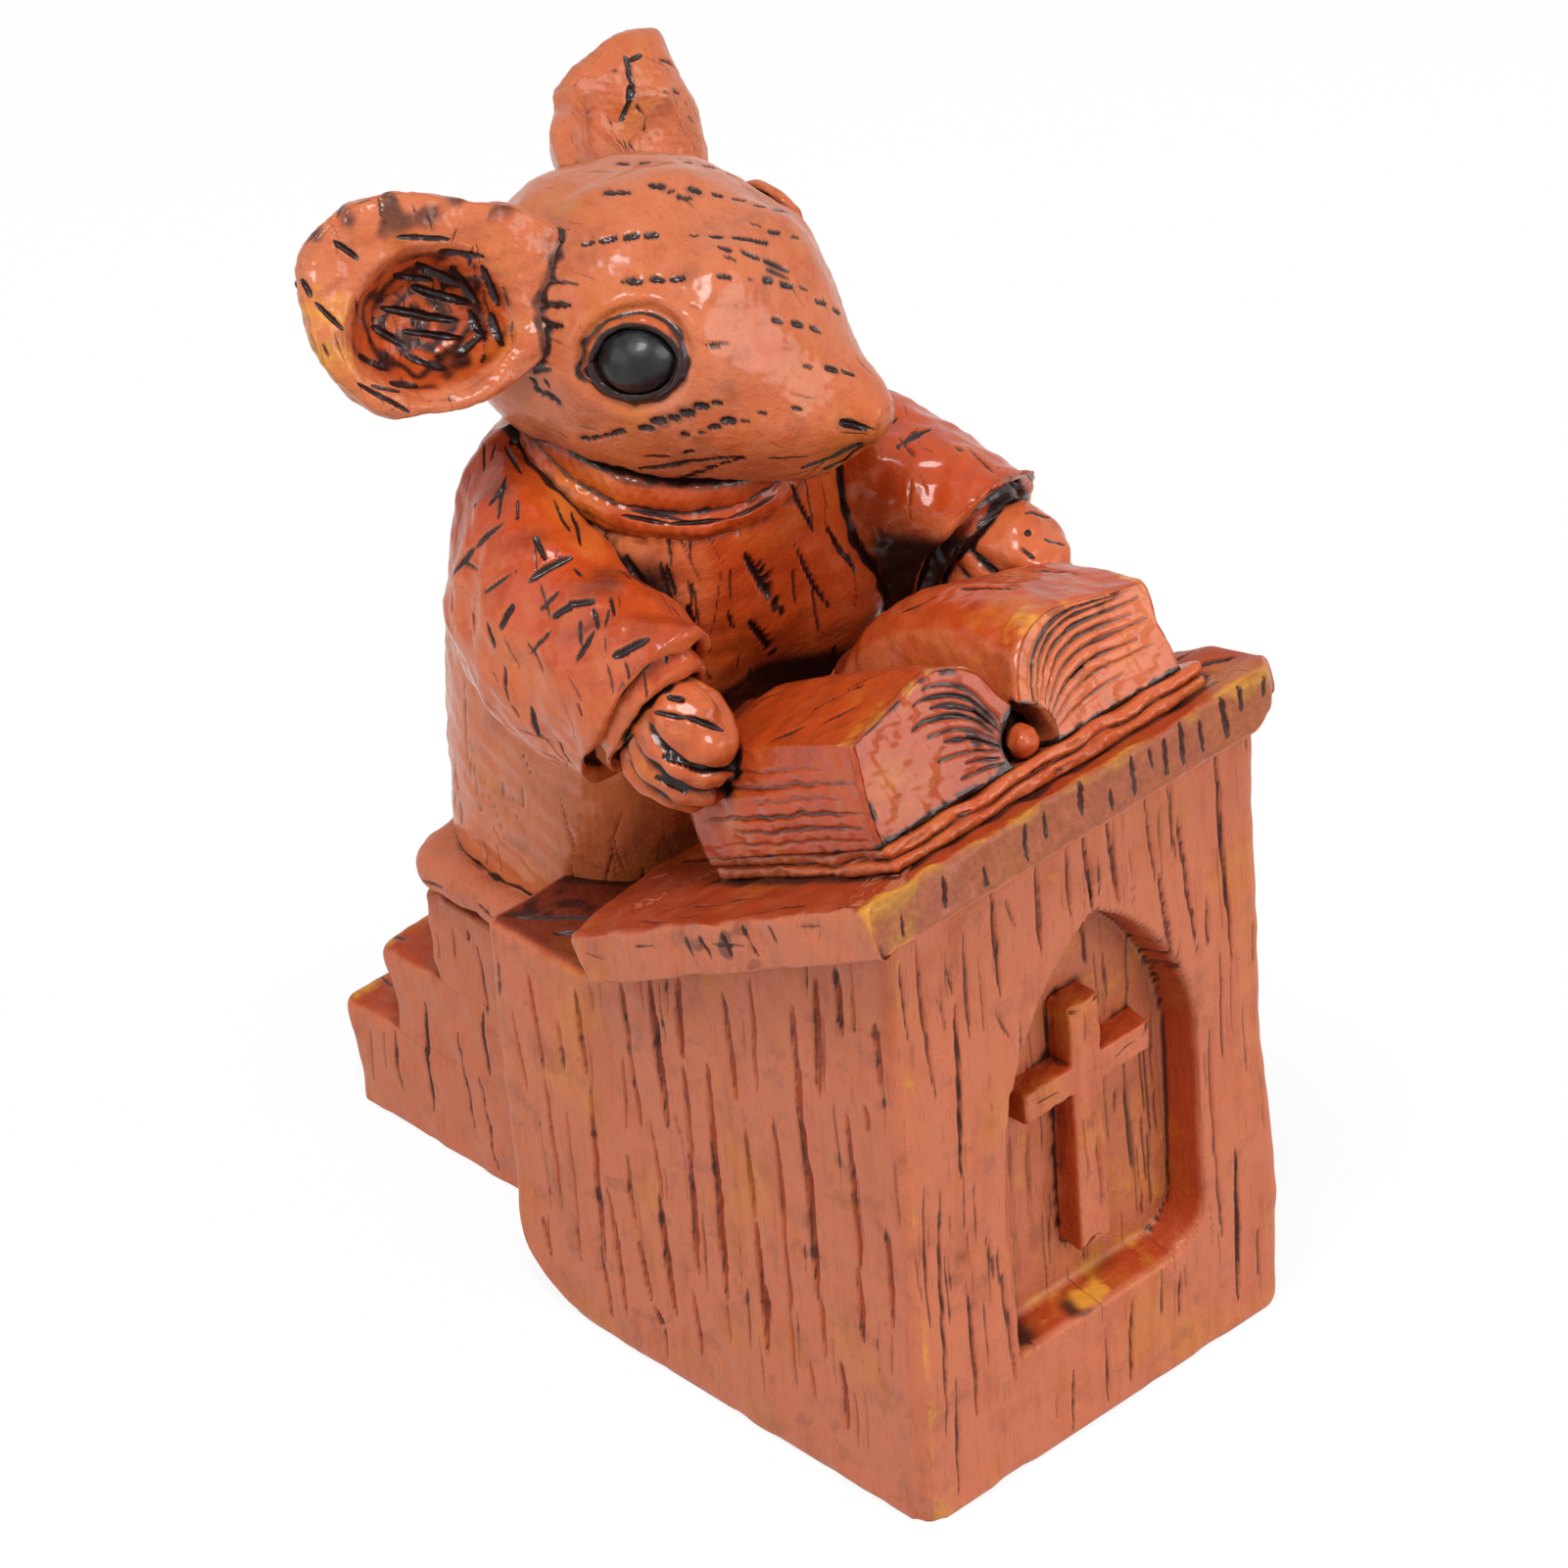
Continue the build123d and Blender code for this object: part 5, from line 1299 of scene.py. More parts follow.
for name, side, spread_mm, height, marks, columns in arms:
    sections = [cuff_section(side, spread_mm, height, *row) for row in sleeve_shares]
    grid = ring_skin(sections, 170, columns, True)
    middle = np.array(sections[-1][:3])
    drawn_in, ahead = cuff_lip[:, 0], cuff_lip[:, 1]
    lining = middle + (grid[-1] - middle)[None] * drawn_in[:, None, None] + arm_front * ahead[:, None, None]
    # Painted shade inside the cuff: the lining darkens as it turns in and deeper in the opening.
    shade = 0.8 * ease(-ahead, -0.02, 0.25) + 0.8 * ease(0.62 - drawn_in, 0, 0.08)
    inside = np.repeat(np.concatenate([np.zeros(len(grid)), shade]), columns)
    points, tris, inside = shell(np.concatenate([grid, lining]), inside)
    if side > 0:
        points[:, 2] -= 0.4 * ease(normals_of(points, tris)[:, 2], 0.1, 0.7)
    else:
        points += normals_of(points, tris) * (0.5 * ease(points[:, 1], 8, 13))[:, None]
    threads = hairs(points, tris, np.array([0.3, 0.5, 0.8]), 110, (0.7, 2.6), (-0.3, 1.8), 122)
    points, dark = dig(points, tris, np.concatenate([marks, threads]), ((4.5, 0.18), (1.8, 0.05), (0.7, 0.012)), 121)
    to_side, _, to_top = normals_of(points, tris).T
    # On the far sleeve the low front that faces the chest is darkened: painted shade round the far hand.
    if side > 0:
        low_front = ease(7.0 - points[:, 1], 0, 2.0) * ease(46.5 - points[:, 2], 0, 2.5)
        dark = dark + 0.85 * low_front * ease(-to_side, -0.2, 0.3)
    on_top = 0.30 * (side < 0) * ease(to_top, 0.0, 0.8) * (0.7 + 0.5 * lumps(points, 3.0, 123))
    piece("wide_" + name, points, tris, glossy, name, wash_and_shade=dark + inside + on_top,
          warm=0.4 + 0.75 * ease(to_top, 0.1, 0.8), join_share=1.2)

# %% [markdown]
# The hands are fists whose fingers lie one above the other. Four separate fingers would
# have to be joined again, so the fist is one skin: a wave across it raises the fingers,
# and thin grooves between them start at the knuckles and end in the round finger tips.

# %% Hands
near_hand_marks = [
    (-12.7, 1.3, 45.5, -12, -0.3, 45.5, 4), (-11.9, -0.3, 45.5, -10.6, -1.6, 44.6, 5),
    (-13, 0.5, 43.2, -11.8, -1.2, 42.5, 5), (-11.8, -1.1, 42.6, -10, -1.9, 41.8, 4),
    (-13, 1.3, 41.5, -12.3, -0.2, 40.9, 4), (-12.3, -0.2, 40.9, -12.3, -0.2, 40.9, 3),
    (-11.8, 1, 46.1, -11.5, 0.4, 46.1, 5), (-12.3, 5.3, 42.2, -12.9, 3.1, 44.3, 3),
    (-12.6, 4.8, 41.4, -13.1, 2.6, 43.8, 2),
]
far_hand_marks = [
    (13.6, 1.7, 45.6, 13.6, 1.7, 45.6, 5), (12.5, -1.1, 45.3, 12.5, -1.1, 45.3, 5),
    (13.2, -0.3, 45.8, 14.5, -0.5, 44.9, 4), (11.8, -1.3, 44.7, 12, -2, 44.3, 3),
    (13.1, -1.6, 44.7, 14, -2.3, 44, 3),
]
hand_shares = [(0.0, 0.5, 0.52), (0.2, 0.86, 0.84), (0.5, 1.0, 1.0), (0.78, 0.82, 0.84), (0.93, 0.55, 0.62),
               (1.0, 0.2, 0.3)]
hand_long, hand_wide, hand_high, finger_gap, groove_half = 7.6, 2.4, 4.2, 0.46, 0.055
hands = (("hand_right", -1, *cuff_near, 0.5, -0.1, near_hand_marks),
         ("hand_left", 1, *cuff_far, 1.8, 0.15, far_hand_marks))
for name, side, spread_mm, height, lift, puff, marks in hands:
    wrist = np.array([side * spread_mm, 4.4, height]) - arm_front * 1.2
    sections = [(*(wrist + arm_front * f * hand_long + arm_up * f * lift), w * hand_wide, 0, 0,
                 *(arm_up * h * hand_high), 2.3) for f, w, h in hand_shares]
    points, tris = shell(ring_skin(sections, 150, 220))
    along = (points - wrist) @ arm_front / hand_long
    tall = ((points - wrist) @ arm_up - lift * along) / hand_high
    wavy = 0.05 * np.sin(6 * along)
    groove = sum(bell(tall - gap - wavy, 0, groove_half) for gap in (-0.45, 0.02, 0.44)) * ease(along, 0.3, 0.5)
    finger = np.cos(tall * math.pi * 2 / finger_gap + math.pi) * 0.5 + 0.5
    swell = (0.26 * finger - 0.5 * groove) * ease(along, 0.25, 0.55) + puff
    points = points + normals_of(points, tris) * swell[:, None]
    shallower = np.array(marks) - [0, 0, 0, 0, 0, 0, 1]
    points, dark = dig(points, tris, shallower, ((2.0, 0.09), (0.8, 0.02)), 131)
    # The wrist end of each fist, inside its cuff, is darkened as painted shade; the grooves take the dark wash.
    piece("clenched_" + name, points, tris, glossy, name,
          wash_and_shade=dark + 1.2 * groove + 0.6 * ease(0.25 - along, 0, 0.2), warm=0.45)

# %% [markdown]
# The head is worked out in its own measures: left, up and forward from a point inside
# the skull, because it is turned and bowed over the book. Its skin dips in a ring round
# each eye and rises at the brow and cheek. Most of its marks are needle pits, and each
# leaves a wider halo of thin wash.

# %% Head measures and sockets
head_marks = [
    (1.1, 16.7, 66.8, 1.3, 16.3, 66.9, 3), (1.9, 15.8, 66.8, 2.2, 15.6, 66.8, 3),
    (2.6, 14.9, 66.9, 2.9, 14.6, 66.9, 1), (3.6, 14.3, 66.7, 4, 14.3, 66.5, 2),
    (4.5, 13.8, 66.3, 5.3, 13.9, 65.7, 2), (6, 13.7, 65.2, 6.4, 13.5, 64.9, 2),
    (-2.1, 14.3, 67.4, -1.3, 13.2, 67.5, 3), (-0.1, 12.8, 67.5, 0.3, 12.4, 67.4, 3),
    (0.4, 12, 67.2, 0.7, 12, 67.1, 1), (0.6, 11.6, 66.9, 1.4, 11.4, 66.5, 1),
    (1.7, 11.8, 66.8, 2.1, 11.5, 66.6, 3), (2.7, 11.2, 66.3, 3.1, 10.9, 66.1, 2),
    (3.6, 10.6, 65.9, 4.1, 10.2, 65.7, 2), (4.3, 9.7, 65.5, 4.8, 9.4, 65.3, 2), (5.2, 9.2, 65, 6.6, 9.8, 64, 3),
    (-5.1, 12.9, 66.1, -4.6, 12.5, 66.2, 2), (-4.4, 12.2, 66.3, -3.8, 11.7, 66.4, 3),
    (-3.4, 11.3, 66.4, -2.9, 11, 66.4, 3), (-2.5, 10.7, 66.3, -2, 10.5, 66.2, 3),
    (-0.4, 9.7, 65.8, -0.1, 9.4, 65.7, 1), (0.3, 8.8, 65.7, 0.6, 8.3, 65.7, 2), (1, 8, 65.6, 2.8, 7.2, 64.8, 2),
    (-0.1, 7.7, 65.7, 0.2, 7.2, 65.6, 2), (0.8, 7, 65.3, 1.6, 6.7, 64.6, 2),
    (1.9, 6.6, 64.4, 3.3, 6.3, 63.2, 2), (1.8, 6.3, 64, 3.1, 6.1, 62.9, 1),
    (-0.3, 7.1, 65.5, 0.1, 6.7, 65.2, 1), (2.9, 8.5, 65.5, 3.2, 8.1, 65.3, 1),
    (3.5, 7.7, 65, 4.1, 7.6, 64.7, 2), (4.7, 7.5, 64.2, 5.3, 7.6, 63.8, 1), (-4.8, 9.7, 65, -4.3, 9.4, 64.8, 3),
    (-3.7, 9.1, 64.9, -3.4, 8.7, 64.8, 3), (-3, 8.3, 64.8, -2.6, 7.9, 64.9, 3),
    (-1.3, 6.6, 64.9, -0.8, 6.3, 64.7, 2), (0.3, 6, 64.2, 0.5, 6, 64.1, 1), (1.3, 5.9, 63.7, 1.7, 5.9, 63.5, 3),
    (2.4, 5.8, 63, 3, 5.8, 62.6, 3), (3.6, 5.8, 62.3, 4, 5.6, 62, 1), (4.2, 5.3, 61.3, 4.9, 5.3, 60.8, 2),
    (5.3, 5.2, 60.3, 5.8, 5.2, 59.9, 2), (0.7, 4.8, 62, 1.2, 4.7, 61.7, 2), (1.9, 4.6, 61.3, 2.4, 4.5, 61, 3),
    (2.9, 4.4, 60.7, 3.4, 4.2, 60.3, 2), (2.7, 3.1, 58.8, 3.2, 2.9, 58.5, 3), (3.6, 2.8, 58.3, 4, 2.5, 58, 2),
    (1.4, 3.4, 59.4, 1.9, 3.3, 59.1, 1), (-3.6, 5.4, 62.3, -2.3, 4.9, 61.9, 1),
    (-3.5, 5.2, 62.1, -2.9, 5, 62, 1), (-9.2, 15.2, 59.6, -9, 14.3, 59.7, 4),
    (-8.8, 13.4, 60.7, -8.8, 13, 60.6, 2), (-8.9, 13.3, 59.9, -8.8, 12, 60.5, 2),
    (-8.8, 12.5, 59.6, -8.8, 12.3, 59.4, 2), (-9, 13.5, 59.4, -8.9, 13.2, 59.2, 2),
    (-8.9, 13.2, 58.9, -8.8, 12.8, 58.7, 3), (-8.8, 12.5, 58.8, -8.6, 11.8, 58.5, 4),
    (-8.1, 14.6, 63.2, -7.2, 11.8, 63.8, 3), (-8.5, 14.5, 62.3, -7.9, 11.7, 62.9, 2),
    (-7.2, 14.7, 64.2, -6.4, 11.6, 64.8, 1), (-8.9, 14.5, 60.6, -8.6, 12.3, 61.8, 3),
    (-4.5, 20.1, 64.4, -7.2, 15, 64.2, 5), (-7.8, 16.2, 63.3, -7.8, 15, 63.4, 3),
    (-7.9, 10.9, 56.3, -7.8, 10.6, 56.3, 2), (-7.6, 10.3, 56.4, -7.5, 10, 56.5, 2),
    (-7.4, 9.8, 56.6, -7.2, 9.5, 56.7, 2), (-7.1, 9.3, 56.8, -6.9, 8.8, 57.1, 3),
    (-6.5, 7.7, 57.5, -6.3, 7.2, 57.6, 4), (-6.2, 7, 58.1, -5.9, 6.6, 58.2, 4),
    (-5.7, 6.2, 58.4, -5.5, 5.9, 58.4, 3), (-5.2, 5.7, 58.7, -4.9, 5.4, 58.6, 4),
    (-4.6, 5.3, 59, -4.2, 5, 58.9, 4), (-3.9, 4.8, 59.1, -3.5, 4.6, 58.9, 2),
    (-5.2, 5.9, 57.3, -5, 5.7, 57.2, 2), (-4.6, 5.4, 57.3, -4.3, 5.2, 57.2, 1),
    (-4, 5, 57.5, -3.7, 4.8, 57.5, 3), (-3.4, 4.6, 57.8, -3, 4.4, 57.7, 4),
    (-2.6, 4.1, 57.6, -2.3, 3.9, 57.5, 1), (-1.8, 3.6, 57.9, -1.5, 3.5, 57.8, 1),
    (-0.1, 2.9, 57.7, 0.3, 2.7, 57.5, 1), (-5.9, 8.9, 54.2, -4.4, 6.1, 55.2, 3),
    (-4.6, 6.4, 55.1, -2.4, 4.4, 55.2, 2), (-3.9, 6.7, 54, -3.7, 6.4, 54, 2),
    (-3.6, 6, 54.4, -3.3, 5.7, 54.5, 2), (-3.1, 5.4, 54.7, -2.9, 5.1, 54.8, 2),
    (-2.7, 4.8, 54.9, -2.4, 4.5, 55.1, 2), (-4.1, 7.6, 53.3, -3.9, 6.8, 53.7, 2),
    (-4.9, 6.2, 55.9, -4.7, 5.9, 56, 2), (-6.1, 8.1, 55.4, -5.4, 7, 55.5, 1),
    (-1.4, 3.6, 54.9, 0.5, 2.7, 54.5, 1), (2.1, 1.4, 56.3, 2.7, 1, 56, 5), (2.6, 1.1, 56, 2.9, 0.7, 55.9, 4),
    (1.9, 2.8, 53, 2.9, 2.3, 53.2, 4), (2.9, 2.3, 53.2, 3.3, 1.2, 54.4, 3), (0.6, 3.2, 53.6, 2, 2.3, 53.9, 3),
    (2, 2.3, 53.9, 3, 1.2, 54.7, 5),
]
yaw, pitch = math.radians(19), math.radians(10)
head_left = np.array([math.cos(yaw), math.sin(yaw), 0])
head_front = np.array([math.sin(yaw) * math.cos(pitch), -math.cos(yaw) * math.cos(pitch), -math.sin(pitch)])
head_up = np.cross(head_front, head_left)
head_middle = np.array([0.3, 13.2, 59.5])
head_axes = np.stack([head_left, head_up, head_front])
head_wide, head_high, head_long = 9.0, 8.25, 25.0


def in_head(left, up_, front):
    """The place of shares of half the head's width and height, and of its length."""
    return head_middle + np.array([left * head_wide, up_ * head_high, front * head_long]) @ head_axes


def eye_frame(side):
    """An eye's middle, the way it looks, and its long and its upright direction."""
    look = unit(np.array([side * 0.92, 0.32, 0.22]) @ head_axes)
    along = head_front + 0.5 * head_up
    along = unit(along - look * (along @ look))
    tall = np.cross(look, along) * side
    return in_head(side * 0.87, 0.29, 0.095), look, along, tall if tall @ head_up > 0 else -tall


def socket(points, side):
    """How far the skin moves round an eye, and where it is dark: a pit under the bead,
    a thin crease round the lid and a swollen ring outside it."""
    spot, look, along, tall = eye_frame(side)
    off = points - spot
    upper = off @ tall
    ring = np.hypot((off @ along) / 1.12, upper)
    near = np.abs(off @ look) < 3
    pit, swelling = -0.8 * ease(2.2 - ring, 0, 0.6), 0.30 * bell(ring, 3.1, 0.75) * ease(upper, -1, 2)
    return near * (pit + swelling - 0.35 * bell(ring, 2.65, 0.3)), near * ease(2.6 - ring, 0, 0.25)


# %% Head
head_shares = [
    (0.0, 0.14, 0.14, -0.1), (0.024, 0.38, 0.38, -0.1), (0.075, 0.58, 0.57, -0.09), (0.143, 0.75, 0.75, -0.08),
    (0.29, 0.95, 0.95, -0.05), (0.42, 1.0, 1.0, -0.03), (0.54, 0.95, 0.95, -0.045), (0.655, 0.88, 0.89, -0.03),
    (0.738, 0.72, 0.72, -0.07), (0.805, 0.58, 0.58, -0.106), (0.88, 0.41, 0.42, -0.144), (0.937, 0.29, 0.3, -0.137),
    (1.0, 0.14, 0.15, -0.11),
]
sections = [(*(head_middle + head_front * (a - 0.46) * head_long + head_up * lift * 2 * head_high),
             *(head_left * w * head_wide), *(head_up * h * head_high), 2.1) for a, w, h, lift in head_shares]
points, tris = shell(ring_skin(sections, 260, 360))
(near_change, near_dark), (far_change, far_dark) = (socket(points, side) for side in (-1, 1))
points = points + normals_of(points, tris) * (near_change + far_change)[:, None]
fur = hairs(points, tris, head_front, 170, (0.6, 2.4), (-0.9, 0.3), 142)
points, dark = dig(points, tris, np.concatenate([head_marks, fur]), ((5.0, 0.14), (1.9, 0.02), (0.7, 0.012)), 141)
left, upper, front = ((points - head_middle) @ head_axes.T).T
halo = carve(points, gouge_rows(head_marks, 2.6, 0), None, normals_of(points, tris))[1]
points -= (head_left * 0.5) * (ease(left, 4.5, 8.0) * ease(front, -4, 2))[:, None]
clouds = 0.16 * ease(lumps(points, 3.4, 143), 0.2, 1.1)
# Under the head the skin is darkened as painted shade; the halos round the pits and the clouds are dark wash.
piece("mouse_head", points, tris, furry, "head",
      wash_and_shade=dark + 0.3 * halo + np.maximum(near_dark, far_dark) + 0.35 * ease(-upper, 4.5, 7.5) + clouds,
      warm=0.28 + 0.1 * ease(front, 2, 9), wear_and_light=0.3 * ease(-upper, 2.5, 5.0) * ease(front, 0, 5), join_share=0.75)

# %% [markdown]
# Each eye is a glossy bead, a little longer than tall, pressed into a lid that is thick
# above, thin below and drawn out to a corner behind. The lid could be a half ball, but
# seen close it is a ring: a small round carried round the bead, with its own thickness
# at every angle. The nose is a ball as well, dark in its pits.

# %% Eyes, lids and nose


def ball(half_axes, rows, columns):
    """Measures of an oval ball: each half axis times a sine or cosine of the latitude
    and of the longitude."""
    lat = np.linspace(0, np.pi, rows)[:, None]
    lon = np.linspace(0, 2 * np.pi, columns, endpoint=False)
    a, b, c = half_axes
    return a * np.sin(lat) * np.cos(lon), b * np.sin(lat) * np.sin(lon), c * np.cos(lat) * np.ones(columns)


lon = np.linspace(0, 2 * np.pi, 240, endpoint=False)[:, None]
around = np.linspace(0, 2 * np.pi, 40, endpoint=False)[None]
above = ease(np.sin(lon), -0.3, 0.6)
corner = bell(np.mod(lon - np.radians(188) + np.pi, 2 * np.pi) - np.pi, 0, 0.3)
thick = 0.20 + 0.12 * above + 0.04 * corner
a = (2.34 + 0.75 * corner + thick * np.cos(around)) * np.cos(lon)
c = (2.02 + 0.10 * above + thick * np.cos(around)) * np.sin(lon)
lid = a, c, 0.05 + 0.22 * above + thick * np.sin(around) - 0.14 * np.hypot(a, c) ** 2 * 0.32
for side, word in ((-1, "right"), (1, "left")):
    spot, look, along, tall = eye_frame(side)
    axes = along, tall, look
    points, tris = shell(laid_out(spot - look * 0.85, axes, ball((2.22, 1.95, 2.0), 60, 100)))
    points, _ = dig(points, tris, [], ((1.8, 0.02),), 150)
    piece(word + "_bead_eye", points, tris, bead, "eye_" + word)
    grid = laid_out(spot, axes, lid)
    points, tris = shell(np.concatenate([grid, grid[:1]]))
    points, _ = dig(points, tris, [], ((1.4, 0.05), (0.6, 0.01)), 151)
    off = points - spot
    ring = np.hypot((off @ along) / 1.12, off @ tall)
    piece(word + "_heavy_lid", points, tris, furry, "eyelid_" + word, warm=0.6, join_share=0.5,
          wash_and_shade=ease(2.3 - ring, 0, 0.3) + 0.4 * ease(-(off @ tall), 0.5, 1.5))

points, tris = shell(in_head(0, -0.2, 0.505) + np.stack(ball((1.38, 1.25, 1.2), 70, 110), -1) @ head_axes)
points, dark = dig(points, tris, head_marks, ((1.3, 0.06),), 161)
piece("mouse_nose", points, tris, furry, "nose", wash_and_shade=dark, warm=0.5, join_share=0.0)

# %% [markdown]
# An ear is a lumpy cup. It is laid out round its dish: every ray from the dish's
# middle crosses the dish, its steep wall, the flat rim, the edge, and then the domed
# back. Its outline bulges towards the skull, so that its root runs into the head. A
# bent disc with thickness would be quicker, but its rim would be the same all round.

# %% Ear outlines and marks
near_ear_marks = [
    (-13.3, 17.9, 68.4, -10.8, 16.9, 67.5, 3), (-16.3, 19.4, 68.9, -15.5, 18.7, 67.8, 3),
    (-18.4, 19, 66.3, -17.7, 17.7, 64.9, 3), (-18.1, 16.6, 62.2, -16.3, 14.8, 60.3, 3),
    (-18.4, 20, 67.3, -18.5, 19.3, 66.7, 3), (-18.8, 18.5, 64.2, -18.9, 17.9, 63.7, 1),
    (-12, 18.1, 66.1, -10, 16.6, 64.3, 4), (-11.6, 19.6, 63.9, -9.8, 17.2, 63, 5),
    (-13.4, 19.9, 63.3, -10.4, 17.7, 62, 5), (-12.8, 19.2, 61.9, -10.7, 16.9, 61.4, 4),
    (-13.4, 18.5, 65.9, -10.8, 18.8, 64.2, 3), (-14.4, 19.5, 62.8, -13.3, 18.7, 61.5, 4),
    (-17, 17.2, 63.1, -15.6, 17, 61.8, 4), (-13.5, 18.1, 61.1, -12.6, 16.2, 60.7, 4),
    (-16.3, 15.8, 61.7, -14.9, 15.5, 61, 3), (-10.6, 17, 65.7, -9.7, 16.4, 63.3, 3),
    (-9.8, 17.2, 62.5, -10.2, 15.5, 61.7, 3), (-11.5, 16.1, 61, -10, 15.7, 61.9, 3),
    (-9.7, 15.5, 65.9, -9.5, 14.6, 63.8, 3), (-9.6, 15.3, 63, -10.2, 13.8, 62, 3),
    (-11.3, 16.9, 67, -9.5, 15.7, 66.3, 3), (-17.5, 16.1, 62, -16.3, 15.3, 61.4, 2),
]
far_ear_marks = [
    (10.2, 26, 66, 8.8, 26.1, 64.2, 3), (8.8, 26.1, 64.2, 7.7, 26.6, 63.2, 4),
    (7.7, 26.6, 63.2, 6.6, 27.1, 62, 3), (11, 26, 65.6, 10.3, 25.9, 65.7, 3),
    (12.1, 25.6, 65, 13, 25.9, 64.1, 2), (11.4, 25.2, 63.2, 11.8, 25.3, 62.8, 2),
    (12.2, 25, 62.2, 12.3, 24.9, 62.1, 1), (10.5, 25.3, 63.4, 10.7, 25.3, 63.2, 1),
    (13.3, 25.9, 63.3, 13.4, 25.8, 63.1, 1), (9, 26, 65.6, 9.1, 25.9, 65.5, 1),
    (11.9, 25, 61.4, 12.1, 24.8, 60.9, 1),
]
ears = {
    "ear_right": {
        "side": -1, "place": (1.26, 0.41, -0.372), "face": (0.56, 0.58, 0.59), "dish_at": (0.7, -1.1),
        "dish": (4.75, 3.95, 2.2), "dome": 3.2, "lump": (0.13, 0.04), "columns": 420, "marks": near_ear_marks,
        "lift": [(0, 1.2), (90, 1.3), (180, 1.2), (270, 1.0)],
        "outline": [(180, 6.0), (189, 5.9), (210, 5.85), (224, 5.95), (236, 6.0), (251, 6.0), (264, 5.95), (279, 6.06),
                    (292, 6.3), (309, 6.7), (325, 7.5), (340, 8.6), (0, 9.4), (20, 8.6), (36, 7.0), (50, 6.1),
                    (65, 5.72), (83, 5.78), (99, 6.1), (112, 6.4), (135, 6.6), (145, 6.65), (154, 6.6), (163, 6.5),
                    (172, 6.2)]},
    "ear_left": {
        "side": 1, "place": (1.2, 0.13, -0.33), "face": (0.36, 0.5, 0.78), "dish_at": (0.2, 0.6),
        "dish": (3.0, 3.0, 0.25), "dome": 3.6, "lump": (0.08, 0.02), "columns": 300, "marks": far_ear_marks,
        "lift": [(0, 0.2), (60, 0.9), (90, 1.8), (120, 2.4), (141, 2.6), (160, 2.66), (180, 2.7), (198, 2.7),
                 (207, 2.6), (220, 1.9), (236, 1.0), (250, -0.2), (265, -1.2), (290, -1.0), (321, -0.8), (345, -0.2)],
        "outline": [(0, 9.0), (30, 8.0), (60, 6.4), (90, 5.8), (120, 5.6), (141, 5.9), (160, 5.85), (180, 5.8),
                    (198, 6.4), (205, 7.2), (214, 6.6), (236, 5.7), (250, 5.0), (265, 4.4), (290, 4.4), (321, 6.4),
                    (345, 8.6)]},
}
dish_rows, rim_rows, edge_rows, back_rows = 50, 34, 22, 46


def ring_values(pairs, t):
    """Values given at some angles in degrees, joined smoothly round the circle."""
    pairs = np.array(sorted(pairs), float)
    knots = np.concatenate([pairs - [360, 0], pairs, pairs + [360, 0]])
    fine = np.linspace(-360, 720, 2161)
    plain = np.interp(fine, knots[:, 0], knots[:, 1])
    soft = np.convolve(plain, np.hanning(23) / np.hanning(23).sum(), "same")
    return np.interp(np.degrees(t) % 360, fine, soft)


def ear_rows(outline, lift, dish_at, dish, dome, columns):
    """Rows from the dish's middle over the rim to the middle of the back, each with
    measures towards the root, sideways and outward. The dish is a bowl whose wall
    steepens, the rim swells like a sine, the edge is a half round, the back a dome."""
    t = np.linspace(0, 2 * np.pi, columns, endpoint=False)
    radius, lift = ring_values(outline, t), ring_values(lift, t)
    edge_a, edge_b = radius * np.cos(t), radius * np.sin(t)
    (mid_a, mid_b), (wide, tall, deep) = dish_at, dish
    dish_a, dish_b = mid_a + wide * np.cos(t), mid_b + tall * np.sin(t)

    def towards_edge(s, height):
        return dish_a + (edge_a - dish_a) * s, dish_b + (edge_b - dish_b) * s, height

    rows = [((dish_a - mid_a) * s + mid_a, (dish_b - mid_b) * s + mid_b,
             lift * s**2 - deep * (1 - ease(s, 0.4, 1.08)) * (1 - 0.15 * s)) for s in np.linspace(0, 1, dish_rows)]
    rows += [towards_edge(s, lift + 0.35 * np.sin(np.pi * s)) for s in np.linspace(0.04, 0.93, rim_rows)]
    rows += [towards_edge(0.93 + 0.07 * math.sin(s), lift - 0.55 + 0.6 * math.cos(s))
             for s in np.linspace(0, math.pi, edge_rows)]
    rows += [(edge_a * (1 - s) * 0.95, edge_b * (1 - s) * 0.95,
              (lift - 1.1) * (1 - s) ** 1.5 - dome * math.sin(math.pi / 2 * s)) for s in np.linspace(0.04, 1, back_rows)]
    return np.array(rows).transpose(1, 0, 2)


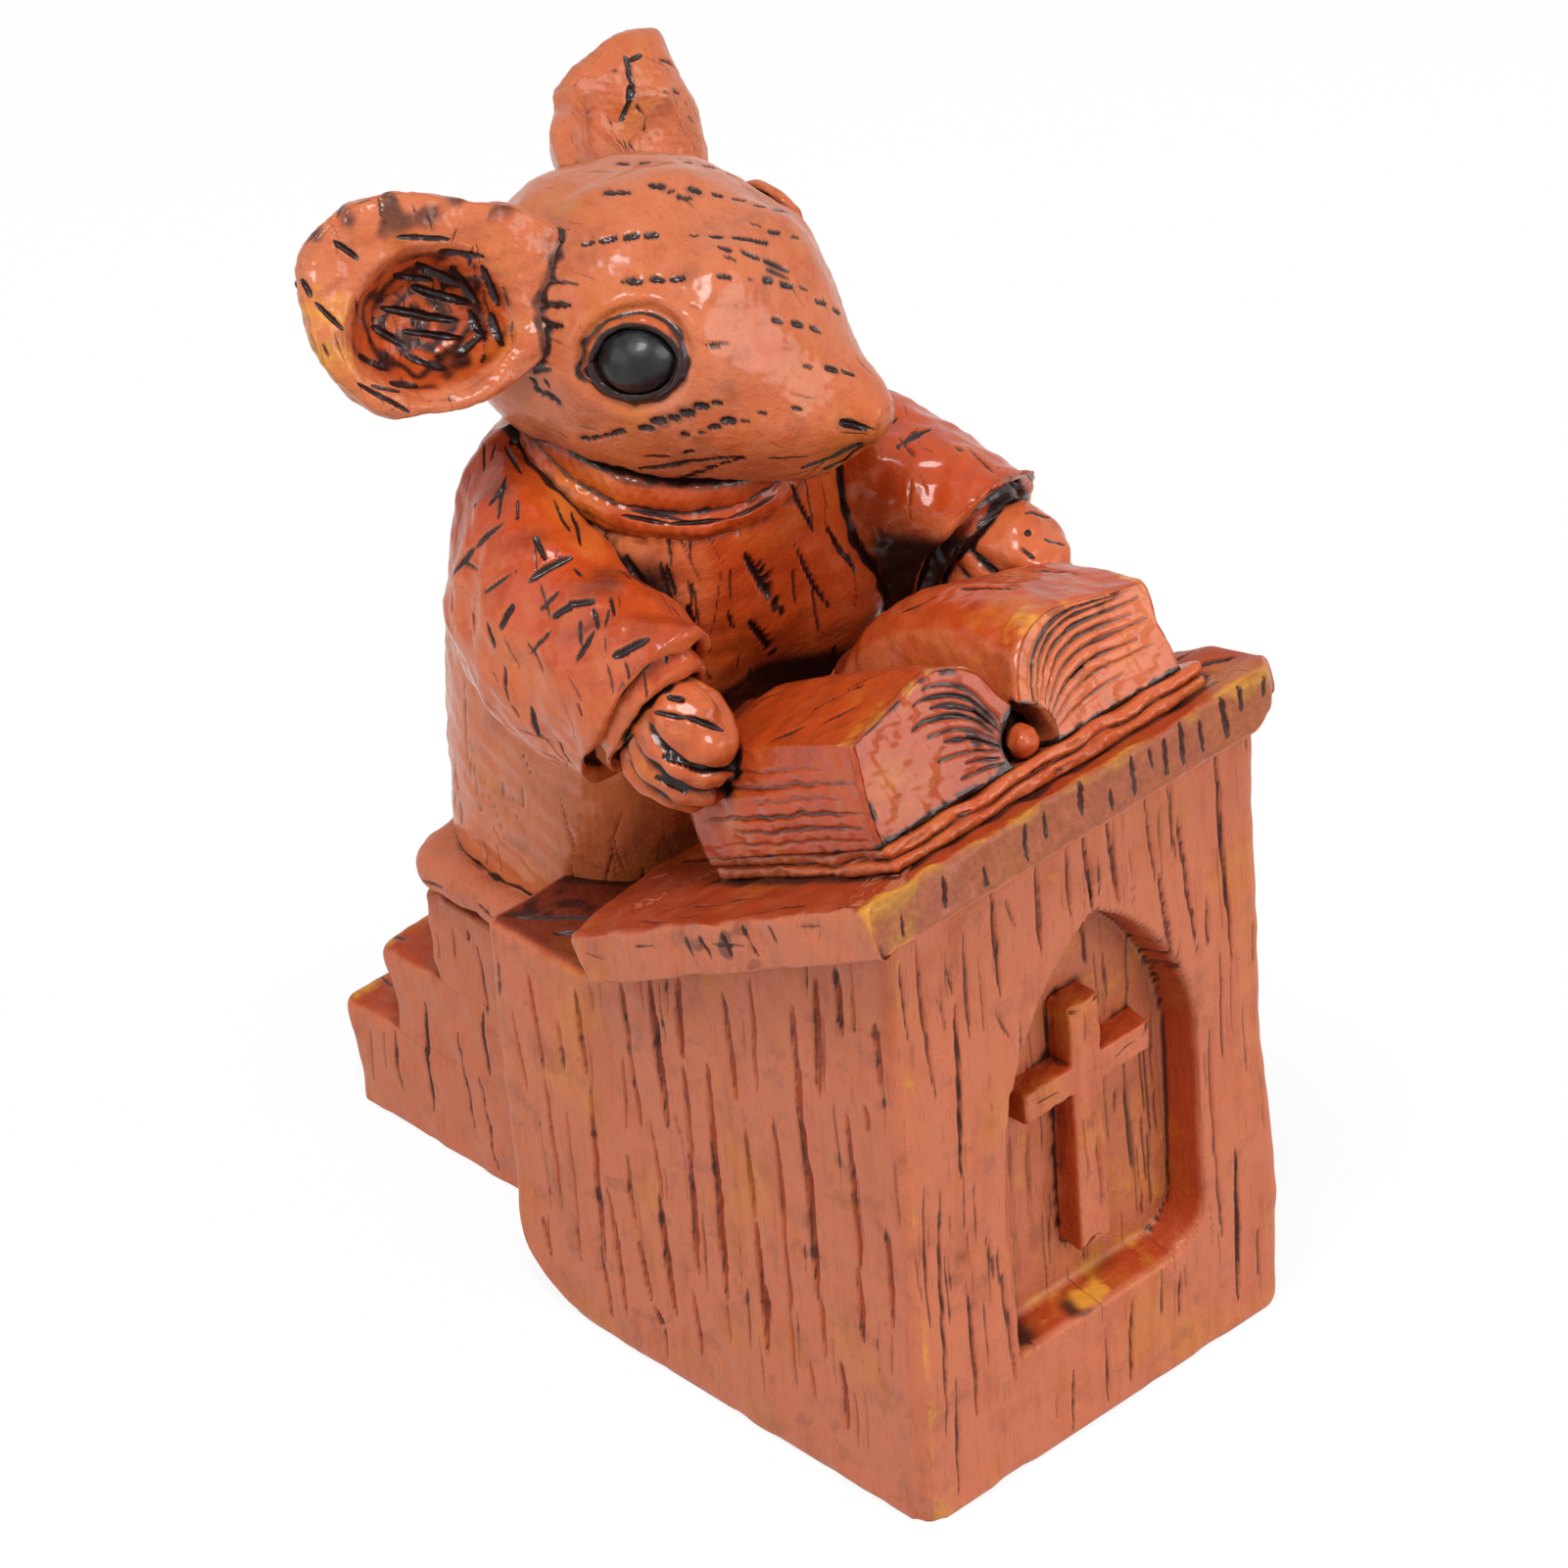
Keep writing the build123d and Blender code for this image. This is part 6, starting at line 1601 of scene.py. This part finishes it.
# %% Ears
for name, ear in ears.items():
    side, place, face = ear["side"], ear["place"], ear["face"]
    middle = in_head(side * place[0], place[1], place[2])
    outward = unit(np.array([side * face[0], face[1], face[2]]) @ head_axes)
    root = in_head(side * 0.2, 0.2, -0.2) - middle
    to_root = unit(root - outward * (root @ outward))
    sideways = np.cross(outward, to_root)
    measures = ear_rows(*(ear[key] for key in ("outline", "lift", "dish_at", "dish", "dome", "columns")))
    beyond = np.zeros(measures.shape[1] - dish_rows)
    fade = np.concatenate([1 - ease(np.linspace(0, 1, dish_rows), 0.82, 1.0), beyond])
    grid = laid_out(middle, (to_root, sideways, outward), measures)
    points, tris, in_dish = shell(grid, np.repeat(fade, ear["columns"]))
    slow, quick = ear["lump"]
    points, _ = dig(points, tris, [], ((3.0, slow), (1.2, quick), (0.5, 0.012)), 171)
    normals = normals_of(points, tris)
    marks = np.concatenate([ear["marks"], hairs(points, tris, sideways, 50, (0.6, 2.0), (-0.8, 0.4), 172)])
    first, last, flat = (np.stack([(spots - middle) @ to_root, (spots - middle) @ sideways], 1)
                         for spots in (marks[:, :3], marks[:, 3:6], points))
    deep, dark = carve(flat, gouge_rows(np.column_stack([first, last, marks[:, 6]])), normals @ outward > 0.1)
    points = points - normals * deep[:, None]
    from_dish = flat - ear["dish_at"]
    ring = np.hypot(from_dish[:, 0] / ear["dish"][0], from_dish[:, 1] / ear["dish"][1])
    on_near = side < 0
    on_rim = (1 - in_dish) * on_near
    folds = np.sin(ring * 22 + 1.5 * lumps(flat, 2.0, 175))
    smudge = 0.6 * ease(flat[:, 1], 2.6, 4.4) * ease(lumps(flat, 2.4, 176), -0.7, 0.7) * on_rim
    outer = ease(-flat[:, 0], 2.0, 4.6) * on_rim
    piece("cupped_" + name, points, tris, furry, name,
          wash_and_shade=dark + in_dish * (0.40 + 0.3 * folds) * on_near + smudge, warm=0.3 + 0.7 * in_dish * on_near,
          wear_and_light=0.42 * outer * ease(-np.abs(flat[:, 1] + 0.6), -4, -1.0) + 0.1 * outer, join_share=0.6)

# %% [markdown]
# The dark wash runs into every join where two pieces meet, and this darkening is also
# painted shade, standing in for the shade that falls into the joins. To find the joins,
# space is cut into small cells and each piece marks those its skin passes through. The
# cells the others marked are then blurred, and a point that lies in this blur is near a
# join. A shader could look for close surfaces by itself, but it wouldn't carry over to
# a file.

# %% Wash in the joins
cell = 0.30
least = np.min([points.min(0) for _, points, _, _ in kept], axis=0) - 4 * cell
most = np.max([points.max(0) for _, points, _, _ in kept], axis=0)
shape = tuple(((most - least) / cell).astype(int) + 6)


def cells_of(points):
    """The numbers of the cells that the points lie in, each once."""
    return np.unique(np.ravel_multi_index(((points - least) / cell).astype(int).T, shape))


filled = np.zeros(shape, np.int16)
cells = [cells_of(points) if np.max(share) > 0 else [] for _, points, _, share in kept]
for mine in cells:
    filled.flat[mine] += 1
for (mesh, points, washed_and_shaded, share), mine in zip(kept, cells):
    others = filled.copy()
    others.flat[mine] -= 1
    at = (points - least) / cell - 0.5
    low, high = at.min(0).astype(int) - 2, at.max(0).astype(int) + 4
    others = (others[tuple(slice(a, b) for a, b in zip(low, high))] > 0).astype(np.float32)
    for axis in (0, 1, 2, 0, 1, 2):
        others = (np.roll(others, 1, axis) + 2 * others + np.roll(others, -1, axis)) / 4
    floor = np.floor(at - low).astype(int)
    part = at - low - floor
    join = np.zeros(len(points))
    for corner in np.ndindex(2, 2, 2):
        weight = np.prod(np.where(corner, part, 1 - part), axis=1)
        join += weight * others[tuple((floor + corner).T)]
    # The join's darkening: dark wash and painted shade together.
    join = ease(join + 0.08 * lumps(points, 1.2, 181), 0.16, 0.46)
    write_mask(mesh.attributes["wash_and_shade"], washed_and_shaded + share * join)
print("joins found among", len(kept), "pieces in", shape, "cells")
